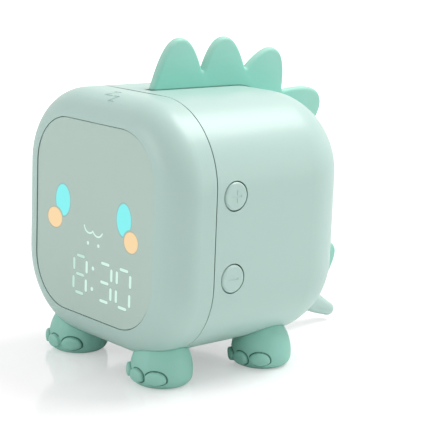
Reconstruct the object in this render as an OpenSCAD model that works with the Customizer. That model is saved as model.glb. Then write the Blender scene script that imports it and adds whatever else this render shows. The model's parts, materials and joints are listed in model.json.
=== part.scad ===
// Alarm clock for a child's room, shaped like a small plated animal.
// A rounded body of two shells stands on four soft feet. A panel with lit
// graphics closes the face, a lit row of plates runs over the top and down
// the back, and a short tail carries the last plate.
// Body frame: x across the face, y from the face (0) to the back, z from
// the underside of the body (0) upwards. placed() moves it to the model
// frame, whose origin is on the floor under the middle of the object.

/* [Body] */
// Width of the body across the face
body_w = 98; // [94:0.5:102]
// Height of the body without its feet
body_h = 97; // [94:0.5:102]
// Depth of the body from face to back, without the tail
body_d = 94.5; // [90:0.5:100]
// Radius of the four long edges that run from front to back
corner_r = 31.5; // [30:0.5:33]
// Radius of the edge round the face
front_r = 12.4; // [11.6:0.2:13.2]
// Radius of the edge round the back
back_r = 26.3; // [25:0.1:27.5]
// Wall thickness of the shells
wall = 2.4; // [2:0.1:2.8]

/* [Seam] */
// Depth of the front shell, from the face to the seam
front_d = 19.4; // [18.8:0.1:21]
// Width of the open line between the two shells
seam_gap = 0.4; // [0.3:0.1:0.8]
// Length of the lip of the rear shell inside the front shell
lip_l = 2.4; // [1.6:0.1:2.6]
// Clearance between the lip and the front shell
lip_gap = 0.12; // [0.05:0.01:0.2]
// Depth of the engraved mark over the touch area
mark_depth = 0.25; // [0.15:0.05:0.5]

/* [Face panel] */
// Width of the shell beside the panel
panel_side = 12.5; // [11.5:0.1:14]
// Height of the shell above and below the panel
panel_top = 11.1; // [10.5:0.1:13]
// Corner radius of the panel
panel_r = 19.4; // [18:0.2:21]
// Gap round the panel
panel_gap = 0.3; // [0.15:0.05:0.5]
// How far the panel lies behind the face
panel_sink = 0.3; // [0:0.05:0.4]
// Width of the hidden flange round the panel
panel_flange = 2.6; // [2:0.1:3]
// Thickness of that flange
flange_t = 1.2; // [0.8:0.1:1.6]

/* [Display] */
// Thickness of the white sheet behind the panel
sheet_t = 0.3; // [0.2:0.05:0.6]
// Depth of the light cells in the mask
mask_t = 6; // [5:0.2:6.4]
// Thickness of the circuit boards
board_t = 1.6; // [1:0.1:1.8]
// Gap between the display board and the shell round it
board_gap = 1; // [0.8:0.1:1.4]
// Height of a digit
digit_h = 16; // [14:0.1:18]
// Width of a digit
digit_w = 9.6; // [8.8:0.1:10]
// Distance between the digits of a pair
digit_pitch = 11.6; // [11.2:0.1:11.8]
// Width of a lit stroke
stroke_w = 1.5; // [1.2:0.1:1.8]
// Height of the digits' middle line under the middle of the face
digits_drop = 21.9; // [20.8:0.1:23]
// Sideways place of the mouth and the digits
digits_x = 0.8; // [0:0.1:1]
// Distance of each eye from the middle
eye_x = 19.3; // [18:0.1:21]
// Height of the eyes over the middle of the face
eye_z = 4.8; // [3:0.1:7]
// Width of an eye
eye_w = 9; // [8:0.1:10]
// Height of an eye
eye_h = 12.5; // [11:0.1:14]
// Distance of each cheek from the middle
cheek_x = 24.2; // [23:0.1:25.5]
// Height of the cheeks under the middle of the face
cheek_drop = 3; // [1:0.1:4]
// Width of a cheek
cheek_w = 8.9; // [8.4:0.1:10]
// Height of a cheek
cheek_h = 8; // [7.4:0.1:8.4]
// Width of the mouth
mouth_w = 12; // [10:0.1:13]
// Radius of each of the mouth's two arcs
mouth_r = 4; // [3.6:0.1:5]
// Width of the mouth's line
mouth_line = 0.8; // [0.6:0.1:1]
// Height of the mouth's lowest points under the middle of the face
mouth_drop = 5; // [4:0.1:5.6]
// Height of the two dots under the middle of the face
dots_drop = 8.6; // [8.2:0.1:9.4]
// Distance between the two dots
dots_pitch = 6.6; // [5:0.1:8]
// Side of a surface-mount light
led_side = 1.2; // [0.8:0.1:1.4]
// Height of a surface-mount light
led_t = 0.8; // [0.5:0.1:1.2]

/* [Buttons] */
// Diameter of a button
button_d = 10.6; // [10:0.1:12.6]
// Open gap round a button
button_gap = 0.4; // [0.3:0.05:0.6]
// How far a button stands proud of the side
button_proud = 0.4; // [0.2:0.1:1.4]
// Place of the buttons behind the face
button_y = 28.4; // [28:0.1:31]
// Height between the two buttons of a side
button_pitch = 30.8; // [27:0.2:33]
// Travel of a button
button_travel = 0.6; // [0.3:0.05:0.65]
// Width of the hidden rim of a button
button_rim = 1.05; // [0.8:0.05:1.3]
// Thickness of that rim
rim_t = 1.1; // [0.8:0.1:1.3]
// Depth of the engraved signs on the buttons
sign_depth = 0.15; // [0.1:0.05:0.4]
// Diameter of a button's stem
stem_d = 4; // [3.6:0.1:5]
// Side of a switch housing
switch_side = 6; // [5:0.1:6.4]
// Height of a switch housing
switch_h = 3.6; // [3.2:0.1:4]
// Diameter of a switch plunger
plunger_d = 3.2; // [2.6:0.1:3.4]
// How far a plunger stands out of its housing
plunger_out = 1.5; // [1.2:0.1:1.8]
// Radial clearance of a plunger in its housing
plunger_fit = 0.08; // [0.03:0.01:0.1]

/* [Spine] */
// Thickness of the plates
crest_t = 4; // [3.6:0.1:4.6]
// How far the rounding of the plates' edges reaches in
crest_edge = 1.7; // [1:0.1:2.2]
// Height of the lit band under the plates
band_h = 3; // [2:0.1:3.6]
// Side clearance of the crest in its slot
crest_gap = 0.2; // [0.1:0.05:0.4]
// Distance from the face to the front end of the slot
slot_y = 25.3; // [24:0.1:26.4]
// Open length of the slot in front of the crest
slot_lead = 1.2; // [0.6:0.1:2]
// Root width of the plates
plate_w = 27; // [25:0.5:29]
// Height of the plates on the top
plate_h = 19.6; // [15:0.5:23]
// Extra height of the plates on the back
back_plate_extra = 6; // [3:0.1:8]
// Extra root width of the widest plate on the back
back_plate_wider = 5; // [2:0.1:6]
// Lean of the plate at the back corner
plate_lean = 2.7; // [0:0.1:4]
// Width of the crest's hidden flange and of the light guide
guide_w = 6.4; // [5.8:0.1:6.8]
// Thickness of the crest's hidden flange
crest_flange = 1.2; // [0.8:0.1:1.5]
// Thickness of the light guide
guide_t = 2.9; // [2:0.1:3.4]
// Thickness of the flexible light strip
strip_t = 0.4; // [0.2:0.05:0.6]
// Number of lights on the strip
strip_leds = 9; // [5:1:11]

/* [Tail] */
// Radius of the curve along the top of the tail
tail_arc_r = 60; // [56:0.5:64]
// Angle of that curve from the back to the tip
tail_sweep = 66.1; // [62:0.1:68]
// Radius of the tip of the tail
tail_tip_r = 3.6; // [3.2:0.1:4.4]
// Width of the tail at its root
tail_root_w = 28.8; // [26:0.2:31]
// Thickness of the tail at its root
tail_root_t = 25.2; // [24:0.2:28]
// How far the top of the tail drops off at its tip
tail_droop = 1; // [0:0.1:1.6]
// Height of the tail over the floor
tail_floor_gap = 2; // [1:0.1:3]
// Root width of the tail plate
tail_plate_w = 24.2; // [20:0.1:26]
// Height of the tail plate
tail_plate_h = 21.8; // [15:0.1:23]
// Gap between the crest and the tail plate
tail_plate_gap = 1.2; // [0.8:0.1:2]

/* [Feet] */
// Height of the feet under the body
foot_h = 9.8; // [9:0.1:12]
// Widest diameter of a foot
foot_d = 23.7; // [22:0.1:25]
// Radius of the rounded lower edge of a foot
foot_edge_r = 3.9; // [3:0.1:4.4]
// Distance from the side of the body to the middle of each front foot
front_foot_side = 22.3; // [21:0.1:24]
// Distance of the front feet behind the face
front_foot_y = 14.3; // [13.4:0.1:14.6]
// Distance from the side of the body to the middle of each rear foot
rear_foot_side = 18.9; // [18:0.1:20.5]
// Distance of the rear feet behind the face
rear_foot_y = 62; // [58:0.5:66]
// How far a toenail stands out of its foot
toe_out = 1.4; // [0.5:0.1:1.5]
// Width of a toenail
toe_w = 7.8; // [7:0.1:9]
// Height of a toenail
toe_h = 5.8; // [5:0.1:6.6]
// Angle between two toenails
toe_step = 42; // [40:1:48]
// Diameter of a foot's plug
plug_d = 5.2; // [4:0.1:5.6]

/* [Inside] */
// Place of the charging socket from the middle
usb_x = -17; // [-19:0.1:-16]
// Height of the charging socket
usb_z = 63; // [60:0.5:66]
// Diameter of the speaker
speaker_d = 34; // [30:0.5:35]
// Height of the seat under the speaker
seat_t = 1.6; // [1.4:0.1:2.6]
// Place of the speaker behind the face
speaker_y = 50; // [48:0.5:52]
// Length of the battery
battery_l = 48; // [40:1:50]
// Width of the battery
battery_w = 24; // [22:1:26]
// Thickness of the battery
battery_t = 8; // [5:0.5:9]
// Diameter of the inside leads
lead_d = 1.6; // [1.2:0.1:2]

/* [Hidden] */
$fn = 96;

// Panel, middles and straight lengths of the body
panel_w = body_w - 2 * panel_side;
panel_h = body_h - 2 * panel_top;
mid_z = body_h / 2;
flat_x = body_w / 2 - corner_r;
flat_z = body_h / 2 - corner_r;
spine_y = body_d - back_r;
spine_z = body_h - back_r;
cut = 1;

// Tail: middle of the curve along its top
tip_half = tail_tip_r - tail_droop / 2;
tip_depth = tail_arc_r + tail_tip_r + tail_droop / 2;
tip_low = norm([tail_tip_r * cos(tail_sweep), tip_half * sin(tail_sweep)]);
tip_out = norm([tail_tip_r * sin(tail_sweep), tip_half * cos(tail_sweep)]);
tail_z = tail_floor_gap - foot_h + tip_low + tip_depth * sin(tail_sweep);
tail_y = body_d + tail_arc_r;
tail_reach = tail_y - tip_depth * cos(tail_sweep) + tip_out;
tail_droop_from = 54;
tail_taper = 1.1;
tail_narrow_from = 24;
tail_square_to = 25;
tail_sink = 1.2;
tail_sink_to = 14;
tail_sides = 28;

// Display stack behind the panel
sheet_y = wall + flange_t;
mask_y = sheet_y + sheet_t;
board_y = mask_y + mask_t;
board_back = board_y + board_t;
boss_r = 2.3;
boss_reach = corner_r - wall - boss_r - 1.6;
boss_x = flat_x + boss_reach * cos(45);
boss_z = flat_z + boss_reach * sin(45);
pair_x = digit_pitch + 2.1;
led_play = 0.15;

// Screws: shank, head and the holes that they pass
screw_d = 1.9;
head_d = 3.8;
head_t = 1.2;
pilot_play = 0.02;
pass_d = 2.3;

// Buttons: places along x from the outside in
side_x = body_w / 2;
rim_clear = 0.6;
rim_x = side_x - wall - rim_clear;
cap_edge = 0.9;
mark_w = 0.6;
cap_depth = 6.4;
stem_end = side_x - cap_depth;
switch_top = stem_end - plunger_out;
switch_base = switch_top - switch_h;
side_board_t = 1.2;
side_board_w = 11;
side_board_l = button_pitch + 14;
side_post = 4.5;
side_post_r = 2.1;
plunger_in = 1.7;

// Spine: layers under the outer face, measured along its normal
flange_n = -wall - 0.1;
guide_n = flange_n - crest_flange - 0.1;
led_n = guide_n - guide_t - 0.1;
strip_led_t = 1;
strip_led_l = 2.8;
strip_in = 0.2;
strip_n = led_n - strip_led_t - 0.1;
rib_t = 1.2;
rib_gap = 0.15;
crest_y = slot_y + slot_lead;
guide_end = 30;
window_w = 12.8;
window_low = 22;
window_high = tail_z - 2;
plate_seat = 1;
plate_bluntness = 2.25;
tail_plate_lean = 3.2;
tail_slot_end = 60;
tail_post_r = 2.4;
tail_post_l = 4.6;
top_l = spine_y - crest_y;
corner_l = back_r * PI / 2;
back_l = spine_z - tail_z;
spine_l = top_l + corner_l + back_l;
// Each plate: place as a share of the spine's length, then shares of the extra
// width, of the extra height and of the lean
PLATES = [
    [0.132, 0, 0, 0.11],
    [0.36, 0, 0, 0],
    [0.559, 0, 0, -0.41],
    [0.748, 0.56, 1.05, -1],
    [0.947, 1, 1.28, 0.22],
    [1.215, -0.2, 0.76, 0.44]
];
last_plate = PLATES[5];
last_plate_w = plate_w + back_plate_wider * last_plate[1];
band_end = ((last_plate[0] - 1) * spine_l + last_plate_w / 2) / tail_arc_r * 180 / PI;
tail_plate_mid = band_end + (tail_plate_gap + tail_plate_w / 2) / tail_arc_r * 180 / PI;
tail_plate_half = (tail_plate_w / 2 - crest_edge) / tail_arc_r * 180 / PI;

// Feet
front_foot_x = body_w / 2 - front_foot_side;
rear_foot_x = body_w / 2 - rear_foot_side;
foot_barrel_r = 17;
foot_waist = 0.55;
foot_waist_z = foot_h * foot_waist;
foot_rise = 9;
plug_shift = -1;
plug_play = 0.1;
barb_out = 0.8;
barb_t = 1.2;
barb_gap = 0.5;
notch_play = 0.5;
toe_z = 4.8;

// Inside parts
gasket_t = 0.6;
gasket_w = 2.5;
ring_play = 0.25;
ring_t = 1.25;
ring_h = 4;
speaker_z = wall + seat_t;
basket_h = 8.4;
magnet_d = 17;
magnet_t = 5.5;
grille_d = 2;
pad_t = 1.5;
pad_in = 3;
battery_gap = 3;
battery_y = button_y + side_board_w / 2 + battery_gap;
battery_x = side_x - wall - pad_t - battery_t;
usb_w = 8.9;
usb_t = 3.2;
usb_l = 7.5;
usb_play = 0.25;
usb_sink = 0.8;
charge_board_t = 1.2;
charge_w = 22;
charge_l = 18;
charge_top = usb_z - usb_t / 2;
charge_gap = 1.3;
charge_y = body_d - wall - charge_gap - charge_l;
shelf_t = 2;
ear_x = 12;
ear_w = 10;
ear_y = board_back + 1.1;
ear_end = front_d + 8.4;
ear_play = 0.15;
ear_t = 5;
ear_screw_y = front_d + 4.6;
lead_turns = 8;
electrode_x = 3;
electrode_w = 16;
electrode_t = 0.4;
electrode_gap = 0.05;

// Display graphics: middle of each stroke of a digit in half heights and widths,
// and whether it lies flat
STROKES = [
    [0, 1, true], [0, 0, true], [0, -1, true],
    [-1, 0.5, false], [1, 0.5, false], [-1, -0.5, false], [1, -0.5, false]
];
stroke_x = (digit_w - stroke_w) / 2;
stroke_z = (digit_h - stroke_w) / 2;
stroke_gap = 0.3;
flat_l = digit_w - 2 * stroke_w - 1.1;
tall_l = stroke_z - stroke_w - 2 * stroke_gap;
cell_wall = 0.5;
sheet_in = 1;

// Display board: its plug sockets in this order: spine, right, left, speaker, power, touch
CONNECTORS = [[-10, 30], [34, 0], [-34, 0], [0, -26], [-22, 20], [12, 36]];
connector_w = 6;
connector_h = 4;
connector_t = 4;

// ---------------------------------------------------------------- helpers

module placed() {
    translate([0, -tail_reach / 2, foot_h])
        children();
}

// Half of a section through an edge: r runs out to the side, y runs from front to back
module edge_profile(d, rc, rf, rb) {
    translate([0, rf])
        square([rc, d - rf - rb]);
    if (rf > 0) {
        square([rc - rf, rf]);
        intersection() {
            translate([rc - rf, rf])
                circle(rf);
            translate([rc - rf, 0])
                square([rf, rf]);
        }
    }
    if (rb > 0) {
        translate([0, d - rb])
            square([rc - rb, rb]);
        intersection() {
            translate([rc - rb, d - rb])
                circle(rb);
            translate([rc - rb, d - rb])
                square([rb, rb]);
        }
    }
}

// Rounded block: w wide and h high about the middle of the face, d deep from y = 0
module pillow(w, h, d, rc, rf, rb) {
    a = w / 2 - rc;
    b = h / 2 - rc;
    rotate([-90, 0, 0])
        union() {
            translate([-a, -b, 0])
                cube([2 * a, 2 * b, d]);
            for (side = [0, 1])
                mirror([side, 0, 0])
                    translate([a, 0, 0])
                        rotate([90, 0, 0])
                            linear_extrude(height = 2 * b, center = true)
                                edge_profile(d, rc, rf, rb);
            for (side = [0, 1])
                mirror([0, side, 0])
                    translate([0, b, 0])
                        rotate([0, 0, 90])
                            rotate([90, 0, 0])
                                linear_extrude(height = 2 * a, center = true)
                                    edge_profile(d, rc, rf, rb);
            for (sx = [0, 1], sy = [0, 1])
                mirror([sx, 0, 0])
                    mirror([0, sy, 0])
                        translate([a, b, 0])
                            rotate_extrude(angle = 90)
                                edge_profile(d, rc, rf, rb);
        }
}

module body_solid() {
    translate([0, 0, mid_z])
        pillow(body_w, body_h, body_d, corner_r, front_r, back_r);
}

module rounded_rect(w, h, r) {
    square([w - 2 * r, h], center = true);
    square([w, h - 2 * r], center = true);
    for (sx = [-1, 1], sy = [-1, 1])
        translate([sx * (w / 2 - r), sy * (h / 2 - r)])
            circle(r);
}

// Flat plate facing the front: its outline is a child about the middle of the face
module face_plate(y, t) {
    translate([0, y + t, mid_z])
        rotate([90, 0, 0])
            linear_extrude(height = t)
                children();
}

// Section of the body inset by n, as a flat outline
module section(n) {
    rounded_rect(body_w - 2 * n, body_h - 2 * n, corner_r - n);
}

// Sheet of thickness t about x = 0: its outline is a child in y and z
module side_sheet(t) {
    rotate([90, 0, 90])
        linear_extrude(height = t, center = true)
            children();
}

module cylinder_y(r, y0, y1) {
    translate([0, y0, 0])
        rotate([-90, 0, 0])
            cylinder(r = r, h = y1 - y0);
}

module cylinder_x(r, x0, x1) {
    translate([x0, 0, 0])
        rotate([0, 90, 0])
            cylinder(r = r, h = x1 - x0);
}

// Round-ended slot outline
module stadium(w, h) {
    r = min(w, h) / 2;
    square([w - 2 * r + (w > h ? 0 : w), h - 2 * r + (w > h ? h : 0)], center = true);
    for (s = [-1, 1])
        translate([s * (w / 2 - r), s * (h / 2 - r)])
            circle(r);
}

function unit(v) = v / norm(v);

function curve_point(a, b, c, d, t) =
    0.5 * (2 * b + (c - a) * t + (2 * a - 5 * b + 4 * c - d) * t * t
    + (3 * b - a - 3 * c + d) * t * t * t);

function smooth_route(p) = [
    for (i = [0 : len(p) - 2])
        for (j = [0 : lead_turns - 1])
            curve_point(p[max(i - 1, 0)], p[i], p[i + 1], p[min(i + 2, len(p) - 1)], j / lead_turns),
    p[len(p) - 1]
];

// Closed solid through a list of rings, each a list of as many points
module loft(rings) {
    m = len(rings[0]);
    k = len(rings);
    polyhedron(
        points = [for (ring = rings) each ring],
        faces = concat(
            [[for (j = [0 : m - 1]) j]],
            [[for (j = [m - 1 : -1 : 0]) (k - 1) * m + j]],
            [for (i = [0 : k - 2]) for (j = [0 : m - 1])
                [i * m + j, (i + 1) * m + j, (i + 1) * m + (j + 1) % m]],
            [for (i = [0 : k - 2]) for (j = [0 : m - 1])
                [i * m + j, (i + 1) * m + (j + 1) % m, i * m + (j + 1) % m]]
        )
    );
}

// Lead along a smooth route; ref is a direction that the route never follows
module lead(points, ref) {
    path = smooth_route(points);
    last = len(path) - 1;
    sides = 8;
    loft([
        for (i = [0 : last])
            let (n = len(points) - 1)
            let (dir = unit(
                i == 0 ? points[1] - points[0]
                : i == last ? points[n] - points[n - 1]
                : path[i + 1] - path[i - 1]
            ))
            let (u = unit(cross(dir, ref)))
            let (v = cross(dir, u))
            [for (j = [0 : sides - 1])
                path[i] + lead_d / 2 * (u * cos(360 * j / sides) - v * sin(360 * j / sides))]
    ]);
}

// Screw along +z with its head under z = 0
module screw(l) {
    cylinder(d = screw_d, h = l);
    translate([0, 0, -head_t])
        difference() {
            cylinder(d = head_d, h = head_t);
            translate([0, 0, -cut])
                cylinder(d = 1.9, h = cut + 0.6, $fn = 6);
        }
}

// ------------------------------------------------------------------ spine

// Ring sector about the origin between angles a0 and a1
module ring_sector(r0, r1, a0, a1) {
    far = 2 * r1;
    middle = (a0 + a1) / 2;
    intersection() {
        difference() {
            circle(r1);
            circle(r0);
        }
        polygon([
            [0, 0],
            [far * cos(a0), far * sin(a0)],
            [far * cos(middle), far * sin(middle)],
            [far * cos(a1), far * sin(a1)]
        ]);
    }
}

// Band along the spine between two distances from the outer face, from y0 on the
// top over the back corner to the foot of the back
module spine_band(n0, n1, y0) {
    translate([y0, body_h + n0])
        square([spine_y - y0, n1 - n0]);
    translate([spine_y, spine_z])
        ring_sector(back_r + n0, back_r + n1, 0, 90);
    translate([body_d + n0, tail_z])
        square([n1 - n0, back_l]);
}

// The same band along the top of the tail between two angles
module tail_band(n0, n1, a0, a1) {
    translate([tail_y, tail_z])
        ring_sector(tail_arc_r - n1, tail_arc_r - n0, 180 + a0, 180 + a1);
}

// Place along the spine, counted from the front end of the crest
function spine_turn(s) =
    s < top_l ? 0
    : s < top_l + corner_l ? 90 * (s - top_l) / corner_l
    : s < top_l + corner_l + back_l ? 90
    : 90 - (s - top_l - corner_l - back_l) / tail_arc_r * 180 / PI;

function spine_point(s) =
    let (turn = spine_turn(s))
    s < top_l ? [crest_y + s, body_h]
    : s < top_l + corner_l ? [spine_y + back_r * sin(turn), spine_z + back_r * cos(turn)]
    : s < top_l + corner_l + back_l ? [body_d, spine_z - (s - top_l - corner_l)]
    : [tail_y - tail_arc_r * sin(turn), tail_z - tail_arc_r * cos(turn)];

module along_spine(s) {
    translate(spine_point(s))
        rotate(-spine_turn(s))
            children();
}

// Section of a plate at distance x from its middle plane, at place s along the spine:
// w wide at its root, h high, its top moved by lean, its edges rounded
function plate_ring(s, w, h, lean, x, inset) =
    let (p = spine_point(s))
    let (turn = spine_turn(s))
    let (steps = 24)
    let (half = w / 2 - inset)
    [for (q = concat(
        [for (i = [0 : steps])
            let (u = 2 * i / steps - 1)
            let (v = 1 - pow(abs(u), plate_bluntness))
            [u * half + lean * v, (h - inset) * v]],
        [[half, -plate_seat], [-half, -plate_seat]]
    ))
        [
            x,
            p[0] + q[0] * cos(turn) + q[1] * sin(turn),
            p[1] - q[0] * sin(turn) + q[1] * cos(turn)
        ]];

module plate(s, w, h, lean) {
    loft([
        for (i = [-4 : 4])
            plate_ring(s, w, h, lean, -crest_t / 2 * sin(22.5 * i), crest_edge * (1 - cos(22.5 * i)))
    ]);
}

module crest_band() {
    spine_band(-wall - 0.2, band_h, crest_y + crest_edge);
    tail_band(-wall - 0.2, band_h, 0, band_end - 1.6);
}

// ------------------------------------------------------------------- tail

function tail_width(a, inset) =
    let (t = min(max((a - tail_narrow_from) / (tail_sweep - tail_narrow_from), 0), 1))
    tail_tip_r + (tail_root_w / 2 - tail_tip_r) * (1 + cos(180 * t)) / 2 - inset;

// How far the top of the tail has dropped at angle a
function tail_drop(a) =
    tail_droop * pow(max(a - tail_droop_from, 0) / (tail_sweep - tail_droop_from), 2);

function tail_half(a, inset) =
    tail_tip_r + (tail_root_t / 2 - tail_tip_r) * pow(max(1 - a / tail_sweep, 0), tail_taper)
    - tail_drop(a) / 2 - inset;

function tail_power(a) =
    4 - 1.8 * min(max((a - tail_square_to) / (tail_sweep - tail_square_to), 0), 1);

function tail_depth(a) =
    tail_arc_r + tail_sink * max(1 - a / tail_sink_to, 0) + tail_half(a, 0) + tail_drop(a);

function power_sign(v, p) = sign(v) * pow(abs(v), p);

// Ring across the tail at angle a, moved along it by shift and scaled by k
function tail_ring(a, inset, shift, k) = [
    for (j = [0 : tail_sides - 1])
        let (t = 360 * (j + 0.5) / tail_sides)
        let (p = 2 / tail_power(a))
        let (d = tail_depth(a) + k * tail_half(a, inset) * power_sign(sin(t), p))
        [
            k * tail_width(a, inset) * power_sign(cos(t), p),
            tail_y - d * cos(a) + shift * sin(a),
            tail_z - d * sin(a) - shift * cos(a)
        ]
];

module tail_outer() {
    steps = 17;
    first = -6;
    loft(concat(
        [for (i = [0 : steps]) tail_ring(first + (tail_sweep - first) * i / steps, 0, 0, 1)],
        [for (t = [18, 36, 54, 70, 82]) tail_ring(tail_sweep, 0, tail_tip_r * sin(t), cos(t))]
    ));
}

module tail_inner() {
    steps = 9;
    first = -4;
    hollow_end = 48;
    loft([
        for (i = [0 : steps])
            tail_ring(first + (hollow_end - first) * i / steps, wall, 0, 1)
    ]);
}

module at_tail_screws() {
    for (s = [-1, 1])
        translate([s * (window_w / 2 + head_d / 2 + 1.5), 0, back_r + head_d / 2])
            children();
}

module tail_shell() {
    color("#b4d4cb") placed()
        difference() {
            union() {
                difference() {
                    tail_outer();
                    tail_inner();
                }
                at_tail_screws()
                    cylinder_y(tail_post_r, body_d - cut, body_d + tail_post_l);
            }
            body_solid();
            at_tail_screws()
                cylinder_y(screw_d / 2 + pilot_play, body_d - cut, body_d + tail_post_l - 0.4);
            side_sheet(crest_t + 2 * crest_gap)
                tail_band(-wall - 1.4, band_h, 0, tail_slot_end);
        }
}

module tail_plate() {
    color("#8fcabb") placed() {
        plate(
            spine_l + tail_arc_r * tail_plate_mid * PI / 180,
            tail_plate_w, tail_plate_h, tail_plate_lean
        );
        side_sheet(crest_t)
            tail_band(-wall, 0.6, tail_plate_mid - tail_plate_half, tail_plate_mid + tail_plate_half);
    }
}

module spine_crest() {
    color("#8fcabb") placed() {
        for (p = PLATES)
            plate(
                p[0] * spine_l,
                plate_w + back_plate_wider * p[1],
                plate_h + back_plate_extra * p[2],
                plate_lean * p[3]
            );
        side_sheet(crest_t)
            crest_band();
        side_sheet(guide_w) {
            spine_band(flange_n - crest_flange, flange_n, crest_y);
            tail_band(flange_n - crest_flange, flange_n, 0, band_end);
        }
    }
}

module spine_light_guide() {
    color("#e6f6f1") placed()
        side_sheet(guide_w) {
            spine_band(guide_n - guide_t, guide_n, crest_y);
            tail_band(guide_n - guide_t, guide_n, 0, guide_end);
        }
}

module spine_light_strip() {
    color("#f2f2ea") placed()
        side_sheet(guide_w - 2 * strip_in)
            spine_band(strip_n - strip_t, strip_n, crest_y);
}

module spine_leds() {
    pitch = spine_l / strip_leds;
    color("#f7e9a8") placed()
        side_sheet(strip_led_l)
            for (i = [0 : strip_leds - 1])
                along_spine((i + 0.5) * pitch)
                    translate([-strip_led_l / 2, led_n - strip_led_t])
                        square([strip_led_l, strip_led_t]);
}

// ----------------------------------------------------------------- shells

module at_bosses() {
    for (sx = [-1, 1], sz = [-1, 1])
        translate([sx * boss_x, 0, mid_z + sz * boss_z])
            children();
}

module at_ears() {
    for (s = [-1, 1])
        translate([s * ear_x, 0, 0])
            children();
}

module at_plugs(x, y) {
    for (s = [-1, 1])
        translate([s * x, y + plug_shift, 0])
            children();
}

// One letter z engraved over the front edge of the top: its middle is x to the side
// and y behind the face, it is w wide and l long
module snooze_letter(x, y, w, l) {
    linear_extrude(height = 2 * front_r)
        translate([x, y]) {
            for (s = [-1, 1])
                translate([0, s * (l - mark_w) / 2])
                    square([w, mark_w], center = true);
            polygon([
                [-w / 2, mark_w - l / 2],
                [mark_w * 1.3 - w / 2, mark_w - l / 2],
                [w / 2, l / 2 - mark_w],
                [w / 2 - mark_w * 1.3, l / 2 - mark_w]
            ]);
        }
}

module snooze_mark() {
    intersection() {
        translate([0, 0, body_h - front_r]) {
            snooze_letter(-0.8, front_r - 2.9, 4.6, 4.8);
            snooze_letter(3.8, front_r - 6.2, 3.2, 3.4);
        }
        difference() {
            translate([0, front_r, body_h - front_r])
                cylinder_x(front_r + cut, -flat_x, flat_x);
            translate([0, front_r, body_h - front_r])
                cylinder_x(front_r - mark_depth, -flat_x - cut, flat_x + cut);
        }
    }
}

module front_shell() {
    color("#b9d8cf") placed()
        difference() {
            union() {
                difference() {
                    translate([0, 0, mid_z])
                        pillow(body_w, body_h, front_d - seam_gap / 2, corner_r, front_r, 0);
                    translate([0, wall, mid_z])
                        pillow(body_w - 2 * wall, body_h - 2 * wall, front_d, corner_r - wall, front_r - wall, 0);
                }
                intersection() {
                    at_bosses()
                        cylinder_y(boss_r, wall / 2, board_y);
                    translate([0, wall / 2, mid_z])
                        pillow(body_w - wall, body_h - wall, front_d, corner_r - wall / 2, front_r - wall / 2, 0);
                }
                at_ears() {
                    translate([-ear_w / 2, ear_y, wall + ear_play])
                        cube([ear_w, ear_end - ear_y, ear_t]);
                    translate([-ear_w / 2, ear_y, wall / 2])
                        cube([ear_w, front_d - lip_l - 0.4 - ear_y, wall / 2 + ear_play + cut]);
                }
            }
            face_plate(-cut, wall + 2 * cut)
                rounded_rect(panel_w + 2 * panel_gap, panel_h + 2 * panel_gap, panel_r + panel_gap);
            face_plate(wall, flange_t + cut)
                rounded_rect(
                    panel_w + 2 * (panel_flange + panel_gap),
                    panel_h + 2 * (panel_flange + panel_gap),
                    panel_r + panel_flange + panel_gap
                );
            difference() {
                face_plate(front_d - lip_l - 0.2, lip_l + cut)
                    section(wall / 2);
                at_ears()
                    translate([-ear_w / 2, 0, wall + ear_play])
                        cube([ear_w, ear_end, ear_t]);
            }
            snooze_mark();
            at_bosses()
                cylinder_y(screw_d / 2 + pilot_play, board_y - 5, board_y + cut);
            at_ears()
                translate([0, ear_screw_y, 0])
                    cylinder(r = screw_d / 2 + pilot_play, h = wall + ear_play + ear_t + cut);
            at_plugs(front_foot_x, front_foot_y)
                translate([0, 0, -cut])
                    cylinder(d = plug_d + 2 * plug_play, h = 12);
        }
}

module at_button(side, level) {
    translate([0, button_y, mid_z + level * button_pitch / 2])
        mirror([side > 0 ? 0 : 1, 0, 0])
            children();
}

module at_side_posts(side) {
    for (s = [-1, 1])
        translate([0, button_y, mid_z + s * side_post])
            mirror([side > 0 ? 0 : 1, 0, 0])
                children();
}

module spine_ribs() {
    for (s = [-1, 1])
        translate([s * (guide_w / 2 + rib_gap + rib_t / 2), 0, 0])
            side_sheet(rib_t)
                spine_band(guide_n - guide_t - 0.6, -wall / 2, slot_y + 1);
}

module grille() {
    for (ring = [0 : 2])
        for (i = [0 : max(6 * ring, 1) - 1])
            rotate(60 * i / max(ring, 1))
                translate([5 * ring, 0, -cut])
                    cylinder(d = grille_d, h = wall + 2 * cut);
}

module charge_shelf() {
    translate([usb_x - charge_w / 2, charge_y, charge_top - charge_board_t - shelf_t])
        cube([charge_w, charge_l + charge_gap + wall / 2, shelf_t]);
}

module at_charge_screws() {
    for (s = [-1, 1])
        translate([usb_x + s * (charge_w / 2 - 3), charge_y + 4, charge_top])
            children();
}

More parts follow.
